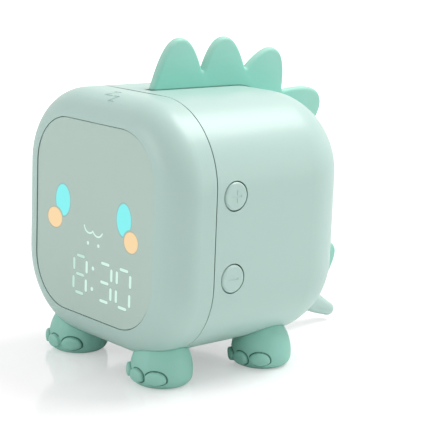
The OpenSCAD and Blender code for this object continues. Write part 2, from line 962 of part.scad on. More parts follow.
module rear_shell() {
    back_d = body_d - front_d - seam_gap / 2;
    color("#b9d8cf") placed()
        difference() {
            union() {
                difference() {
                    translate([0, body_d - back_d, mid_z])
                        pillow(body_w, body_h, back_d, corner_r, 0, back_r);
                    translate([0, body_d - back_d - cut, mid_z])
                        pillow(body_w - 2 * wall, body_h - 2 * wall, back_d + cut - wall, corner_r - wall, 0, back_r - wall);
                }
                difference() {
                    face_plate(front_d - lip_l, lip_l + seam_gap / 2 + 0.8)
                        section(wall / 2 + lip_gap);
                    face_plate(front_d - lip_l - cut, lip_l + seam_gap / 2 + 0.8 + 2 * cut)
                        section(wall);
                }
                for (side = [-1, 1])
                    at_side_posts(side)
                        cylinder_x(side_post_r, switch_base, side_x - wall / 2);
                spine_ribs();
                charge_shelf();
                translate([0, speaker_y, 0])
                    rotate_extrude()
                        translate([speaker_d / 2 - gasket_w, wall / 2]) {
                            square([gasket_w + ring_play + ring_t, seat_t + wall / 2]);
                            translate([gasket_w + ring_play, 0])
                                square([ring_t, seat_t + wall / 2 + ring_h]);
                        }
            }
            for (side = [-1, 1], level = [-1, 1])
                at_button(side, level)
                    cylinder_x(button_d / 2 + button_gap, side_x - wall - 2, side_x + cut);
            for (side = [-1, 1])
                at_side_posts(side)
                    cylinder_x(screw_d / 2 + pilot_play, switch_base - cut, switch_base + 5);
            side_sheet(crest_t + 2 * crest_gap) {
                spine_band(-wall - 0.3, cut, slot_y);
                translate([body_d - wall - 0.3, window_high - cut])
                    square([wall + 0.3 + cut, tail_z - window_high + 2 * cut]);
            }
            translate([-window_w / 2, body_d - back_r, window_low])
                cube([window_w, back_r + cut, window_high - window_low]);
            translate([usb_x, body_d + cut, usb_z])
                rotate([90, 0, 0])
                    linear_extrude(height = wall + 2 * cut)
                        stadium(usb_w + 2 * usb_play, usb_t + 2 * usb_play);
            translate([0, speaker_y, 0])
                grille();
            at_ears() {
                translate([0, ear_screw_y, -cut])
                    cylinder(d = pass_d, h = wall + 2 * cut);
                translate([0, ear_screw_y, -cut])
                    cylinder(d = head_d + 0.4, h = cut + head_t);
            }
            at_tail_screws()
                cylinder_y(pass_d / 2, spine_y, body_d + cut);
            at_charge_screws()
                translate([0, 0, -charge_board_t - shelf_t - cut])
                    cylinder(r = screw_d / 2 + pilot_play, h = shelf_t + 2 * cut);
            at_plugs(rear_foot_x, rear_foot_y)
                translate([0, 0, -cut])
                    cylinder(d = plug_d + 2 * plug_play, h = 14);
        }
}

// ---------------------------------------------------------- face and light

module display_panel() {
    color("#b3cdc4") placed() {
        face_plate(panel_sink, wall - panel_sink)
            rounded_rect(panel_w, panel_h, panel_r);
        face_plate(wall, flange_t)
            rounded_rect(panel_w + 2 * panel_flange, panel_h + 2 * panel_flange, panel_r + panel_flange);
    }
}

module diffuser_sheet() {
    color("#f4f7f5") placed()
        face_plate(sheet_y, sheet_t)
            rounded_rect(panel_w - 2 * sheet_in, panel_h - 2 * sheet_in, panel_r - sheet_in);
}

module at_strokes(flat) {
    for (pair = [-1, 1], place = [-1, 1])
        translate([digits_x + pair * pair_x + place * digit_pitch / 2, -digits_drop])
            for (s = STROKES)
                if (s[2] == flat)
                    translate([s[0] * stroke_x, s[1] * stroke_z])
                        children();
}

module at_dots() {
    for (s = [-1, 1])
        translate([digits_x + s * dots_pitch / 2, -dots_drop])
            children();
    for (s = [-1, 1])
        translate([digits_x, s * digit_h / 4 - digits_drop])
            children();
}

module at_eyes(x, z) {
    for (s = [-1, 1])
        translate([s * x, z])
            children();
}

module oval(w, h, sides = 48) {
    polygon([for (i = [0 : sides - 1]) [w / 2 * cos(360 * i / sides), h / 2 * sin(360 * i / sides)]]);
}

// Two arcs side by side; the line is line_w wide
module mouth_outline(line_w) {
    spread = mouth_w / 4;
    end_angle = asin((spread + line_w / 4) / mouth_r);
    for (s = [-1, 1])
        translate([s * spread, mouth_r])
            ring_sector(mouth_r - line_w / 2, mouth_r + line_w / 2, 270 - end_angle, 270 + end_angle);
}

module display_mask() {
    color("#3a3f41") placed()
        difference() {
            face_plate(mask_y, mask_t)
                rounded_rect(panel_w - 2 * sheet_in, panel_h - 2 * sheet_in, panel_r - sheet_in);
            difference() {
                face_plate(mask_y - cut, mask_t + 2 * cut)
                    at_eyes(eye_x, eye_z)
                        oval(eye_w, eye_h);
                face_plate(mask_y - 2 * cut, mask_t + 4 * cut)
                    at_eyes(cheek_x, -cheek_drop)
                        oval(cheek_w + 2 * cell_wall, cheek_h + 2 * cell_wall);
            }
            face_plate(mask_y - cut, mask_t + 2 * cut) {
                at_eyes(cheek_x, -cheek_drop)
                    oval(cheek_w, cheek_h);
                translate([digits_x, -mouth_drop])
                    mouth_outline(mouth_line);
                at_dots()
                    circle(stroke_w / 2);
                at_strokes(true)
                    square([flat_l, stroke_w], center = true);
                at_strokes(false)
                    square([stroke_w, tall_l], center = true);
            }
            face_plate(board_y - led_t - led_play, led_t + led_play + cut)
                led_places(led_play);
        }
}

// All the lights of the display, each grown by play on every side
module led_places(play) {
    side = led_side + 2 * play;
    long_side = 2 * led_side + 2 * play;
    at_eyes(eye_x, eye_z + 2)
        square(side, center = true);
    at_eyes(cheek_x, -cheek_drop)
        square(side, center = true);
    for (s = [-1, 1])
        translate([digits_x + s * mouth_w / 4, -mouth_drop])
            square(side, center = true);
    at_dots()
        square(side, center = true);
    at_strokes(true)
        square([long_side, side], center = true);
    at_strokes(false)
        square([side, long_side], center = true);
}

module display_leds() {
    color("#f1efe2") placed()
        face_plate(board_y - led_t, led_t)
            led_places(0);
}

module display_board() {
    color("#2f6b4f") placed()
        difference() {
            face_plate(board_y, board_t)
                section(wall + board_gap);
            at_plugs(front_foot_x, front_foot_y)
                cylinder(r = plug_d / 2 + barb_out + notch_play, h = corner_r / 2);
            at_bosses()
                cylinder_y(pass_d / 2, board_y - cut, board_back + cut);
        }
}

module on_board(x, z, w, h, t) {
    translate([x - w / 2, board_back, mid_z + z - h / 2])
        cube([w, t, h]);
}

module controller_chip() {
    color("#26282b") placed()
        on_board(-12, 8, 10, 10, 1.4);
}

module sound_chip() {
    color("#26282b") placed()
        on_board(14, -10, 5, 4, 1.2);
}

function plug_point(i) = [CONNECTORS[i][0], board_back + connector_t, mid_z + CONNECTORS[i][1]];

module board_connectors() {
    color("#efe9da") placed()
        for (c = CONNECTORS)
            on_board(c[0], c[1], connector_w, connector_h, connector_t);
}

module touch_electrode() {
    inner_r = front_r - wall;
    color("#c98a52") placed()
        translate([electrode_x, 0, 0])
            side_sheet(electrode_w)
                translate([front_r, body_h - front_r])
                    ring_sector(inner_r - electrode_gap - electrode_t, inner_r - electrode_gap, 88, 140);
}

// ---------------------------------------------------------------- buttons

// Cap of a button along +x: rounded face, hidden rim and stem; its sign is a child
module button_cap() {
    r = button_d / 2;
    top = side_x + button_proud;
    difference() {
        rotate([0, 90, 0])
            rotate_extrude() {
                translate([0, rim_x])
                    square([r, top - rim_x - cap_edge]);
                translate([0, top - cap_edge - cut])
                    square([r - cap_edge, cap_edge + cut]);
                intersection() {
                    translate([r - cap_edge, top - cap_edge])
                        circle(cap_edge);
                    translate([r - cap_edge, top - cap_edge])
                        square(cap_edge);
                }
                translate([0, rim_x - rim_t])
                    square([r + button_rim, rim_t]);
                translate([0, stem_end])
                    square([stem_d / 2, rim_x - stem_end - rim_t + cut / 2]);
            }
        translate([top - sign_depth, 0, 0])
            rotate([90, 0, 90])
                linear_extrude(height = sign_depth + cut)
                    children();
    }
}

module plus_button() {
    color("#b4d4cb") placed()
        at_button(1, 1)
            button_cap() {
                square([4.6, 0.8], center = true);
                square([0.8, 4.6], center = true);
            }
}

module minus_button() {
    color("#b4d4cb") placed()
        at_button(1, -1)
            button_cap()
                square([4.6, 0.8], center = true);
}

// Clock sign
module alarm_button() {
    color("#b4d4cb") placed()
        at_button(-1, 1)
            button_cap() {
                difference() {
                    circle(2.5);
                    circle(1.8);
                }
                translate([-0.25, 0])
                    square([0.5, 1.4]);
                translate([0, -0.25])
                    square([1.2, 0.5]);
            }
}

// Sun sign
module light_button() {
    color("#b4d4cb") placed()
        at_button(-1, -1)
            button_cap() {
                circle(1.2);
                for (i = [0 : 7])
                    rotate(45 * i)
                        translate([1.8, -0.25])
                            square([1.1, 0.5]);
            }
}

module plunger() {
    cylinder_x(plunger_d / 2, switch_top - plunger_in, stem_end);
}

module plus_plunger() {
    color("#2b2d30") placed() at_button(1, 1) plunger();
}

module minus_plunger() {
    color("#2b2d30") placed() at_button(1, -1) plunger();
}

module alarm_plunger() {
    color("#2b2d30") placed() at_button(-1, 1) plunger();
}

module light_plunger() {
    color("#2b2d30") placed() at_button(-1, -1) plunger();
}

module switch_housings(side) {
    for (level = [-1, 1])
        at_button(side, level)
            difference() {
                translate([switch_base, -switch_side / 2, -switch_side / 2])
                    cube([switch_h, switch_side, switch_side]);
                cylinder_x(plunger_d / 2 + plunger_fit, switch_top - plunger_in - button_travel - 0.2, switch_top + cut);
            }
}

module right_switches() {
    color("#4a4d50") placed() switch_housings(1);
}

module left_switches() {
    color("#4a4d50") placed() switch_housings(-1);
}

module switch_board(side) {
    difference() {
        translate([0, button_y, mid_z])
            mirror([side > 0 ? 0 : 1, 0, 0])
                translate([switch_base - side_board_t, -side_board_w / 2, -side_board_l / 2])
                    cube([side_board_t, side_board_w, side_board_l]);
        at_side_posts(side)
            cylinder_x(pass_d / 2, switch_base - side_board_t - cut, switch_base + cut);
    }
}

module right_switch_board() {
    color("#2f6b4f") placed() switch_board(1);
}

module left_switch_board() {
    color("#2f6b4f") placed() switch_board(-1);
}

// ------------------------------------------------------------------- feet

// Height of the inside of the underside at distance x from the middle
function floor_in(x) =
    corner_r - sqrt(pow(corner_r - wall, 2) - pow(max(x - flat_x, 0), 2));

// Side of a foot grown outwards by out, from height low up
module foot_barrel(out, low) {
    r = foot_d / 2 + out;
    intersection() {
        translate([r - foot_barrel_r, foot_waist_z])
            circle(foot_barrel_r);
        translate([0, low])
            square([r, foot_h + foot_rise - low]);
    }
}

module foot_profile() {
    barrel_x = foot_d / 2 - foot_barrel_r;
    edge_x = barrel_x + sqrt(pow(foot_barrel_r, 2) - pow(foot_edge_r - foot_waist_z, 2)) - foot_edge_r;
    square([edge_x, foot_edge_r]);
    intersection() {
        translate([edge_x, foot_edge_r])
            circle(foot_edge_r);
        translate([edge_x, 0])
            square(foot_edge_r);
    }
    foot_barrel(0, foot_edge_r);
}

// Toenails: oval pads that follow the side of the foot
module toes() {
    intersection() {
        rotate_extrude()
            foot_barrel(toe_out, (toe_z - toe_h / 2) / 2);
        union()
            for (i = [-1 : 1])
                rotate(i * toe_step)
                    translate([0, 3 - foot_d / 2, toe_z])
                        rotate([90, 0, 0])
                            linear_extrude(height = 3 + 2 * toe_out)
                                oval(toe_w, toe_h, 24);
    }
}

module foot(x, y) {
    barb_z = floor_in(x + plug_d / 2 + barb_out) + barb_gap;
    translate([x, y, -foot_h])
        union() {
            difference() {
                union() {
                    rotate_extrude()
                        foot_profile();
                    toes();
                }
                translate([-x, -y, foot_h])
                    body_solid();
            }
            translate([0, plug_shift, foot_h / 2])
                cylinder(d = plug_d, h = foot_h / 2 + barb_z);
            translate([0, plug_shift, foot_h + barb_z])
                cylinder(d1 = plug_d + 2 * barb_out, d2 = plug_d - 1, h = barb_t);
        }
}

module front_right_foot() {
    color("#8bbcaf") placed() foot(front_foot_x, front_foot_y);
}

module front_left_foot() {
    color("#8bbcaf") placed() mirror([1, 0, 0]) foot(front_foot_x, front_foot_y);
}

module rear_right_foot() {
    color("#8bbcaf") placed() foot(rear_foot_x, rear_foot_y);
}

module rear_left_foot() {
    color("#8bbcaf") placed() mirror([1, 0, 0]) foot(rear_foot_x, rear_foot_y);
}

// ---------------------------------------------------------------- speaker

module at_speaker() {
    translate([0, speaker_y, speaker_z])
        children();
}

module speaker_gasket() {
    color("#3c3f42") placed()
        at_speaker()
            difference() {
                cylinder(d = speaker_d, h = gasket_t);
                translate([0, 0, -cut])
                    cylinder(r = speaker_d / 2 - gasket_w, h = gasket_t + 2 * cut);
            }
}

module speaker_frame() {
    r = speaker_d / 2;
    top_r = magnet_d / 2 + 0.6;
    color("#8d9398") placed()
        at_speaker()
            rotate_extrude()
                polygon([
                    [r, gasket_t],
                    [r, gasket_t + 1.4],
                    [r - 2.4, gasket_t + 1.4],
                    [top_r, basket_h],
                    [3, basket_h],
                    [3, basket_h - 1],
                    [top_r - 0.6, basket_h - 1],
                    [r - 3, gasket_t]
                ]);
}

module speaker_cone() {
    r = speaker_d / 2 - 4.4;
    color("#35383b") placed()
        at_speaker()
            rotate_extrude()
                polygon([
                    [r, gasket_t],
                    [r, gasket_t + 0.5],
                    [5, basket_h - 3.4],
                    [0, basket_h - 2.6],
                    [0, basket_h - 3.1],
                    [4.8, basket_h - 3.9],
                    [r - 0.8, gasket_t]
                ]);
}

module speaker_magnet() {
    color("#5d6165") placed()
        at_speaker()
            translate([0, 0, basket_h])
                cylinder(d = magnet_d, h = magnet_t);
}

// ------------------------------------------------------ battery and charge

module battery_block(x0, t, w, l) {
    translate([x0, battery_y + battery_w / 2, mid_z])
        rotate([90, 0, 90])
            linear_extrude(height = t)
                rounded_rect(w, l, 2);
}

module battery() {
    color("#9fb6c9") placed()
        battery_block(battery_x, battery_t, battery_w, battery_l);
}

module battery_pad() {
    color("#e8e4da") placed()
        battery_block(battery_x + battery_t, pad_t, battery_w - 2 * pad_in, 2 * (flat_z - pad_in / 2));
}

module charge_board() {
    color("#2f6b4f") placed()
        difference() {
            translate([usb_x - charge_w / 2, charge_y, charge_top - charge_board_t])
                cube([charge_w, charge_l, charge_board_t]);
            at_charge_screws()
                translate([0, 0, -charge_board_t - cut])
                    cylinder(d = pass_d, h = charge_board_t + 2 * cut);
        }
}

module charge_chip() {
    color("#26282b") placed()
        translate([usb_x - 2.5, charge_y + 3, charge_top])
            cube([5, 4, 1]);
}

module usb_socket() {
    lining = 0.35;
    color("#c9ccce") placed()
        translate([usb_x, body_d - usb_sink, usb_z])
            rotate([90, 0, 0]) {
                difference() {
                    linear_extrude(height = usb_l)
                        stadium(usb_w, usb_t);
                    translate([0, 0, -cut])
                        linear_extrude(height = usb_l - 1 + cut)
                            stadium(usb_w - 2 * lining, usb_t - 2 * lining);
                }
                translate([-3.3, -0.35, 0.6])
                    cube([6.6, 0.7, usb_l - 1.2]);
            }
}

// ----------------------------------------------------------------- screws

module shell_screws() {
    color("#a9adb0") placed()
        at_ears()
            translate([0, ear_screw_y, head_t])
                screw(wall - head_t + ear_play + ear_t - 0.6);
}

module board_screws() {
    color("#a9adb0") placed()
        at_bosses()
            translate([0, board_back, 0])
                rotate([90, 0, 0])
                    screw(board_t + 4.6);
}

module side_screws() {
    color("#a9adb0") placed()
        for (side = [-1, 1])
            at_side_posts(side)
                translate([switch_base - side_board_t, 0, 0])
                    rotate([0, 90, 0])
                        screw(side_board_t + 4.6);
}

module tail_screws() {
    color("#a9adb0") placed()
        at_tail_screws()
            translate([0, body_d - wall, 0])
                rotate([-90, 0, 0])
                    screw(wall + tail_post_l - 0.6);
}

module charge_screws() {
    color("#a9adb0") placed()
        at_charge_screws()
            mirror([0, 0, 1])
                screw(charge_board_t + shelf_t + 0.6);
}

// ------------------------------------------------------------------ leads

module spine_lead() {
    strip_z = body_h + strip_n - strip_t;
    color("#d9dcdc") placed()
        lead([
            plug_point(0),
            plug_point(0) + [0, 4, 0],
            [-7, crest_y - 2, strip_z - 7],
            [0, crest_y + 3, strip_z - 3],
            [0, crest_y + 3, strip_z]
        ], [1, 0, 0.3]);
}

module side_lead(i) {
    s = sign(CONNECTORS[i][0]);
    color("#d9dcdc") placed()
        lead([
            plug_point(i),
            plug_point(i) + [0, 3, 0],
            [s * (switch_base - side_board_t - 4), button_y - 6, mid_z + 7],
            [s * (switch_base - side_board_t - 2.5), button_y, mid_z + 12],
            [s * (switch_base - side_board_t), button_y, mid_z + 12]
        ], [0, 0.2, 1]);
}

module right_lead() {
    side_lead(1);
}

module left_lead() {
    side_lead(2);
}

module speaker_lead() {
    color("#c94f4f") placed()
        lead([
            plug_point(3),
            plug_point(3) + [0, 4, 0],
            [2, speaker_y - speaker_d / 2 - 4, speaker_z + 20],
            [3, speaker_y - magnet_d / 2 - 6, speaker_z + 14],
            [3, speaker_y - magnet_d / 2 - 3.4, speaker_z + 7.4]
        ], [1, 0, 0]);
}

module battery_lead() {
    color("#c94f4f") placed()
        lead([
            [battery_x + battery_t / 2, battery_y + battery_w / 2, mid_z + battery_l / 2],
            [battery_x + battery_t / 2, battery_y + battery_w / 2, mid_z + battery_l / 2 + 4],
            [20, charge_y - 12, body_h - 22],
            [0, charge_y - 6, usb_z + 12],
            [usb_x + 6, charge_y + 2, charge_top + 5],
            [usb_x + 6, charge_y + 2, charge_top]
        ], [0.2, 1, 0]);
}

module power_lead() {
    color("#c94f4f") placed()
        lead([
            plug_point(4),
            plug_point(4) + [0, 5, 0],
            [-22, 45, mid_z + 22],
            [usb_x - 6, charge_y - 4, charge_top + 8],
            [usb_x - 6, charge_y + 2, charge_top + 5],
            [usb_x - 6, charge_y + 2, charge_top]
        ], [1, 0, 0.1]);
}

module touch_lead() {
    electrode_z = body_h - wall - electrode_gap - electrode_t - 0.03;
    color("#c94f4f") placed()
        lead([
            plug_point(5),
            plug_point(5) + [0, 1.8, 0],
            [9, board_back + 4.4, electrode_z - 3.6],
            [5, front_r + 0.2, electrode_z - 1.8],
            [5, front_r + 0.2, electrode_z]
        ], [1, 0, 0]);
}

front_shell();
display_panel();
diffuser_sheet();
display_mask();
display_board();
display_leds();
controller_chip();
sound_chip();
board_connectors();
touch_electrode();
rear_shell();
tail_shell();
spine_crest();
tail_plate();
spine_light_guide();
spine_light_strip();
spine_leds();
front_left_foot();
front_right_foot();
rear_left_foot();
rear_right_foot();
plus_button();
minus_button();
alarm_button();
light_button();
plus_plunger();
minus_plunger();
alarm_plunger();
light_plunger();
right_switches();
left_switches();
right_switch_board();
left_switch_board();
speaker_gasket();
speaker_frame();
speaker_cone();
speaker_magnet();
battery();
battery_pad();
charge_board();
charge_chip();
usb_socket();
shell_screws();
board_screws();
side_screws();
tail_screws();
charge_screws();
spine_lead();
right_lead();
left_lead();
speaker_lead();
battery_lead();
power_lead();
touch_lead();
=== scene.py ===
"""Alarm clock for a child's room, shaped like a small plated animal: its looks."""
import json
import math

import bmesh
import bpy
from mathutils import Matrix, Vector


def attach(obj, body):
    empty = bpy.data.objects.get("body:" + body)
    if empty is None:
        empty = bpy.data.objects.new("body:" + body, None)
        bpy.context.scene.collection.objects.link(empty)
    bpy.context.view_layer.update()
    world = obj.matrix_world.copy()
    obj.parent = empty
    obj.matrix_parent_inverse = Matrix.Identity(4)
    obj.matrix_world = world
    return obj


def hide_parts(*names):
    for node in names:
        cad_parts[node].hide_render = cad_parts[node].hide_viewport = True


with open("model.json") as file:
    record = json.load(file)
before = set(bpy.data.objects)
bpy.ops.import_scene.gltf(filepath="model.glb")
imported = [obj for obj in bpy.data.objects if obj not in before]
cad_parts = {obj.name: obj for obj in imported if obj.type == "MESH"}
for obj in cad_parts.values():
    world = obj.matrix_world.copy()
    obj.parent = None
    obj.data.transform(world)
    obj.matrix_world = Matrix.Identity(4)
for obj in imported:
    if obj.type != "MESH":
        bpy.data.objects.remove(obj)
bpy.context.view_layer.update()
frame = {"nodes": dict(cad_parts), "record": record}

MM = 0.001
MM_PER_M = 1000.0
NODES = frame["nodes"]

# ------------------------------------------------------------------ the clock's own sizes, in mm
# Body frame: x across the face, y from the face to the back, z from the underside upwards.
BODY_W, BODY_H, BODY_D = 98.0, 97.0, 94.5
CORNER_R, FRONT_R, BACK_R = 31.5, 12.4, 26.3
MID_Z = BODY_H / 2
FLAT_X = BODY_W / 2 - CORNER_R
SPINE_Y, SPINE_Z = BODY_D - BACK_R, BODY_H - BACK_R
WALL = 2.4
FOOT_H, FOOT_D, FOOT_EDGE, FOOT_BARREL = 9.8, 23.7, 3.9, 17.0
# Each foot: its middle, how far its nails are turned outwards, their drop and slant
FEET = {
    "front_left_foot": (-26.7, 14.3, 0.0, 0.0, 0.0), "front_right_foot": (26.7, 14.3, 0.0, 0.0, 0.0),
    "rear_left_foot": (-30.1, 62.0, 5.0, 0.6, 0.55), "rear_right_foot": (30.1, 62.0, 5.0, 0.6, 0.55),
}
TAIL_R, TAIL_SWEEP, TAIL_TIP = 60.0, 66.1, 3.6
TAIL_W, TAIL_T, TAIL_SINK = 28.8, 25.2, 1.2
TAIL_TAPER, TAIL_DROOP, TAIL_DROOP_FROM, TAIL_GAP = 1.1, 1.0, 54.0, 2.0
TAIL_START, TAIL_SLOT_END, TAIL_SLOT_DEPTH = -6.0, 60.0, 3.2
SWEEP_SIN, SWEEP_COS = math.sin(math.radians(TAIL_SWEEP)), math.cos(math.radians(TAIL_SWEEP))
TIP_HALF, TIP_DEPTH = TAIL_TIP - TAIL_DROOP / 2, TAIL_R + TAIL_TIP + TAIL_DROOP / 2
TAIL_Z = TAIL_GAP - FOOT_H + math.hypot(TAIL_TIP * SWEEP_COS, TIP_HALF * SWEEP_SIN) + TIP_DEPTH * SWEEP_SIN
TAIL_Y = BODY_D + TAIL_R
REACH = TAIL_Y - TIP_DEPTH * SWEEP_COS + math.hypot(TAIL_TIP * SWEEP_SIN, TIP_HALF * SWEEP_COS)
SHIFT_Y = REACH / 2
CREST_Y, CREST_T, CREST_EDGE, CREST_GAP, VALLEY_OFF = 26.5, 4.0, 1.7, 0.2, 0.9
PLATE_W, PLATE_H, BLUNT = 27.0, 19.6, 2.25
TOP_L, CORNER_L, BACK_L = SPINE_Y - CREST_Y, BACK_R * math.pi / 2, SPINE_Z - TAIL_Z
SPINE_L = TOP_L + CORNER_L + BACK_L
# Each plate: share of the spine's length, root width, height, lean
PLATES = [
    (0.132, PLATE_W, PLATE_H, 0.3), (0.36, PLATE_W, PLATE_H, 0.0), (0.559, PLATE_W, PLATE_H, -1.1),
    (0.748, 29.8, 25.9, -2.7), (0.947, 32.0, 27.28, 0.6), (1.215, 26.0, 24.16, 1.2),
]
LAST_AT, LAST_W = PLATES[-1][:2]
BAND_END = math.degrees(((LAST_AT - 1) * SPINE_L + LAST_W / 2) / TAIL_R)
TAIL_PLATE_W, TAIL_PLATE_H, TAIL_PLATE_LEAN, TAIL_PLATE_GAP = 24.2, 21.8, 3.2, 1.2
TAIL_PLATE_AT = BAND_END + math.degrees((TAIL_PLATE_GAP + TAIL_PLATE_W / 2) / TAIL_R)
BUTTON_D, BUTTON_GAP, BUTTON_Y, BUTTON_PITCH = 10.6, 0.4, 28.4, 30.8
SEAM_Y, SEAM_GAP, SLOT_Y = 19.4, 0.4, 25.3
PANEL_W, PANEL_H, PANEL_R, PANEL_GAP, PANEL_SINK = 73.0, 74.8, 19.4, 0.3, 0.3
TOE_STEP, TOE_Z, TOE_W, TOE_H, TOE_OUT = 40.0, 4.75, 8.4, 5.3, 1.45


def placed(x, y, z):
    """Point of the body frame, in mm, as a point of the model, in metres."""
    return Vector((x, y - SHIFT_Y, z + FOOT_H)) * MM


# ------------------------------------------------------------------ camera and light
CAMERA_TURN, CAMERA_RISE, CAMERA_ROLL = 48.55, 11.75, 2.23
CAMERA_PLACE, CAMERA_LENS, SENSOR_W = (0.42457, -0.37677, 0.17204), 116.6, 36
LAMP_AIM = (0.0, 0.0, 0.06)


def make_camera():
    turn, rise, roll = (math.radians(a) for a in (CAMERA_TURN, CAMERA_RISE, CAMERA_ROLL))
    forward = Vector((-math.sin(turn) * math.cos(rise), math.cos(turn) * math.cos(rise), -math.sin(rise)))
    level = forward.cross(Vector((0, 0, 1))).normalized()
    above = level.cross(forward)
    right = level * math.cos(roll) + above * math.sin(roll)
    up = -level * math.sin(roll) + above * math.cos(roll)
    data = bpy.data.cameras.new("camera")
    data.lens = CAMERA_LENS
    data.sensor_width = SENSOR_W
    data.clip_start = 0.01
    cam = bpy.data.objects.new("camera", data)
    bpy.context.scene.collection.objects.link(cam)
    axes = Matrix((right, up, -forward)).transposed().to_4x4()
    cam.matrix_world = Matrix.Translation(CAMERA_PLACE) @ axes
    bpy.context.scene.camera = cam


def make_lamp(name, place, size, power):
    data = bpy.data.lights.new(name, "AREA")
    data.shape = "DISK"
    data.size = size
    data.energy = power
    lamp = bpy.data.objects.new(name, data)
    bpy.context.scene.collection.objects.link(lamp)
    lamp.location = place
    lamp.rotation_euler = (Vector(LAMP_AIM) - Vector(place)).to_track_quat("-Z", "Y").to_euler()
    lamp.visible_camera = False


def make_light():
    make_lamp("overhead_softbox", (0.14, 0.46, 0.90), 0.60, 7.0)
    make_lamp("right_softbox", (0.86, 0.52, 0.22), 0.5, 0.75)
    make_lamp("front_softbox", (-0.30, -0.95, 0.40), 0.5, 1.7)


# ------------------------------------------------------------------ shader helpers
class Graph:
    """Short ways to add nodes to one node tree."""

    COLOUR_A, COLOUR_B, COLOUR_OUT = 6, 7, 2

    def __init__(self, tree):
        self.tree = tree
        self.spot = 0

    def node(self, kind, **values):
        made = self.tree.nodes.new(kind)
        self.spot += 1
        made.location = (180 * (self.spot % 12), -220 * (self.spot // 12))
        for key, value in values.items():
            setattr(made, key, value)
        return made

    def put(self, socket, value):
        if isinstance(value, bpy.types.NodeSocket):
            self.tree.links.new(value, socket)
        elif isinstance(value, tuple) and len(value) == 3 and socket.type == "RGBA":
            socket.default_value = (*value, 1)
        else:
            socket.default_value = value

    def math(self, operation, *values):
        made = self.node("ShaderNodeMath", operation=operation)
        for socket, value in zip(made.inputs, values):
            self.put(socket, value)
        return made.outputs[0]

    def plus(self, a, b):
        return self.math("ADD", a, b)

    def minus(self, a, b):
        return self.math("SUBTRACT", a, b)

    def times(self, a, b):
        return self.math("MULTIPLY", a, b)

    def larger(self, a, b):
        return self.math("MAXIMUM", a, b)

    def amount(self, a):
        return self.math("ABSOLUTE", a)

    def largest(self, masks):
        whole = masks[0]
        for mask in masks[1:]:
            whole = self.larger(whole, mask)
        return whole

    def vector(self, operation, *values):
        made = self.node("ShaderNodeVectorMath", operation=operation)
        for socket, value in zip(made.inputs, values):
            self.put(socket, value)
        return made.outputs["Value"] if operation == "LENGTH" else made.outputs[0]

    def length(self, x, y):
        return self.vector("LENGTH", self.join(x, y))

    def ramp(self, value, low, high, to_low=0.0, to_high=1.0):
        made = self.node("ShaderNodeMapRange", interpolation_type="SMOOTHSTEP", clamp=True)
        for key, v in (("Value", value), ("From Min", low), ("From Max", high), ("To Min", to_low),
                       ("To Max", to_high)):
            self.put(made.inputs[key], v)
        return made.outputs["Result"]

    def mix(self, share, a, b):
        made = self.node("ShaderNodeMix", data_type="RGBA", clamp_factor=True)
        self.put(made.inputs["Factor"], share)
        self.put(made.inputs[self.COLOUR_A], a)
        self.put(made.inputs[self.COLOUR_B], b)
        return made.outputs[self.COLOUR_OUT]

    def noise(self, place, scale, detail=2.0, rough=0.5):
        made = self.node("ShaderNodeTexNoise")
        for key, v in (("Vector", place), ("Scale", scale), ("Detail", detail), ("Roughness", rough)):
            self.put(made.inputs[key], v)
        return made.outputs["Fac"]

    def split(self, place):
        made = self.node("ShaderNodeSeparateXYZ")
        self.put(made.inputs[0], place)
        return made.outputs

    def join(self, x=0.0, y=0.0, z=0.0):
        made = self.node("ShaderNodeCombineXYZ")
        for socket, v in zip(made.inputs, (x, y, z)):
            self.put(socket, v)
        return made.outputs[0]

    def use(self, group, **values):
        made = self.node("ShaderNodeGroup", node_tree=group)
        for key, value in values.items():
            self.put(made.inputs[key.replace("_", " ")], value)
        return made.outputs

    def place(self):
        return self.node("ShaderNodeTexCoord").outputs["Object"]


def new_group(name, inputs, outputs):
    tree = bpy.data.node_groups.new(name, "ShaderNodeTree")
    for key, kind, default in inputs:
        socket = tree.interface.new_socket(key, in_out="INPUT", socket_type="NodeSocket" + kind)
        if default is not None:
            socket.default_value = default
    for key, kind in outputs:
        tree.interface.new_socket(key, in_out="OUTPUT", socket_type="NodeSocket" + kind)
    g = Graph(tree)
    given = g.node("NodeGroupInput").outputs
    result = g.node("NodeGroupOutput").inputs
    return tree, g, given, result


def make_moulded_finish():
    """Tone, gloss and fine grain of a moulded surface."""
    tree, g, given, result = new_group(
        "moulded_finish",
        [("Place", "Vector", None), ("Colour", "Color", (0.5, 0.5, 0.5, 1)), ("Tone", "Float", 0.03),
         ("Cloud size", "Float", 30.0), ("Gloss", "Float", 0.45), ("Gloss spread", "Float", 0.06),
         ("Grain size", "Float", 2600.0), ("Grain depth", "Float", 0.5)],
        [("Colour", "Color"), ("Roughness", "Float"), ("Height", "Float")])
    speck_size, grain_share, speck_share, gloss_grain = 0.37, 0.6, 0.4, 0.04
    cloud = g.noise(given["Place"], given["Cloud size"], 3.0, 0.55)
    grain = g.noise(given["Place"], given["Grain size"], 2.0, 0.6)
    speck = g.noise(given["Place"], g.times(given["Grain size"], speck_size), 1.0)
    speck = g.ramp(speck, 0.62, 0.74)
    shade = g.times(g.minus(cloud, 0.5), given["Tone"])
    shade = g.plus(shade, g.times(g.minus(grain, 0.5), g.times(given["Tone"], grain_share)))
    shade = g.minus(shade, g.times(speck, g.times(given["Tone"], speck_share)))
    lift = g.plus(1.0, g.times(shade, 2.0))
    g.put(result["Colour"], g.vector("MULTIPLY", given["Colour"], g.join(lift, lift, lift)))
    wave = g.noise(given["Place"], g.times(given["Cloud size"], 4.0), 2.0)
    gloss = g.plus(given["Gloss"], g.times(g.minus(wave, 0.5), given["Gloss spread"]))
    g.put(result["Roughness"], g.plus(gloss, g.times(g.minus(grain, 0.5), gloss_grain)))
    g.put(result["Height"], g.times(grain, given["Grain depth"]))
    return tree


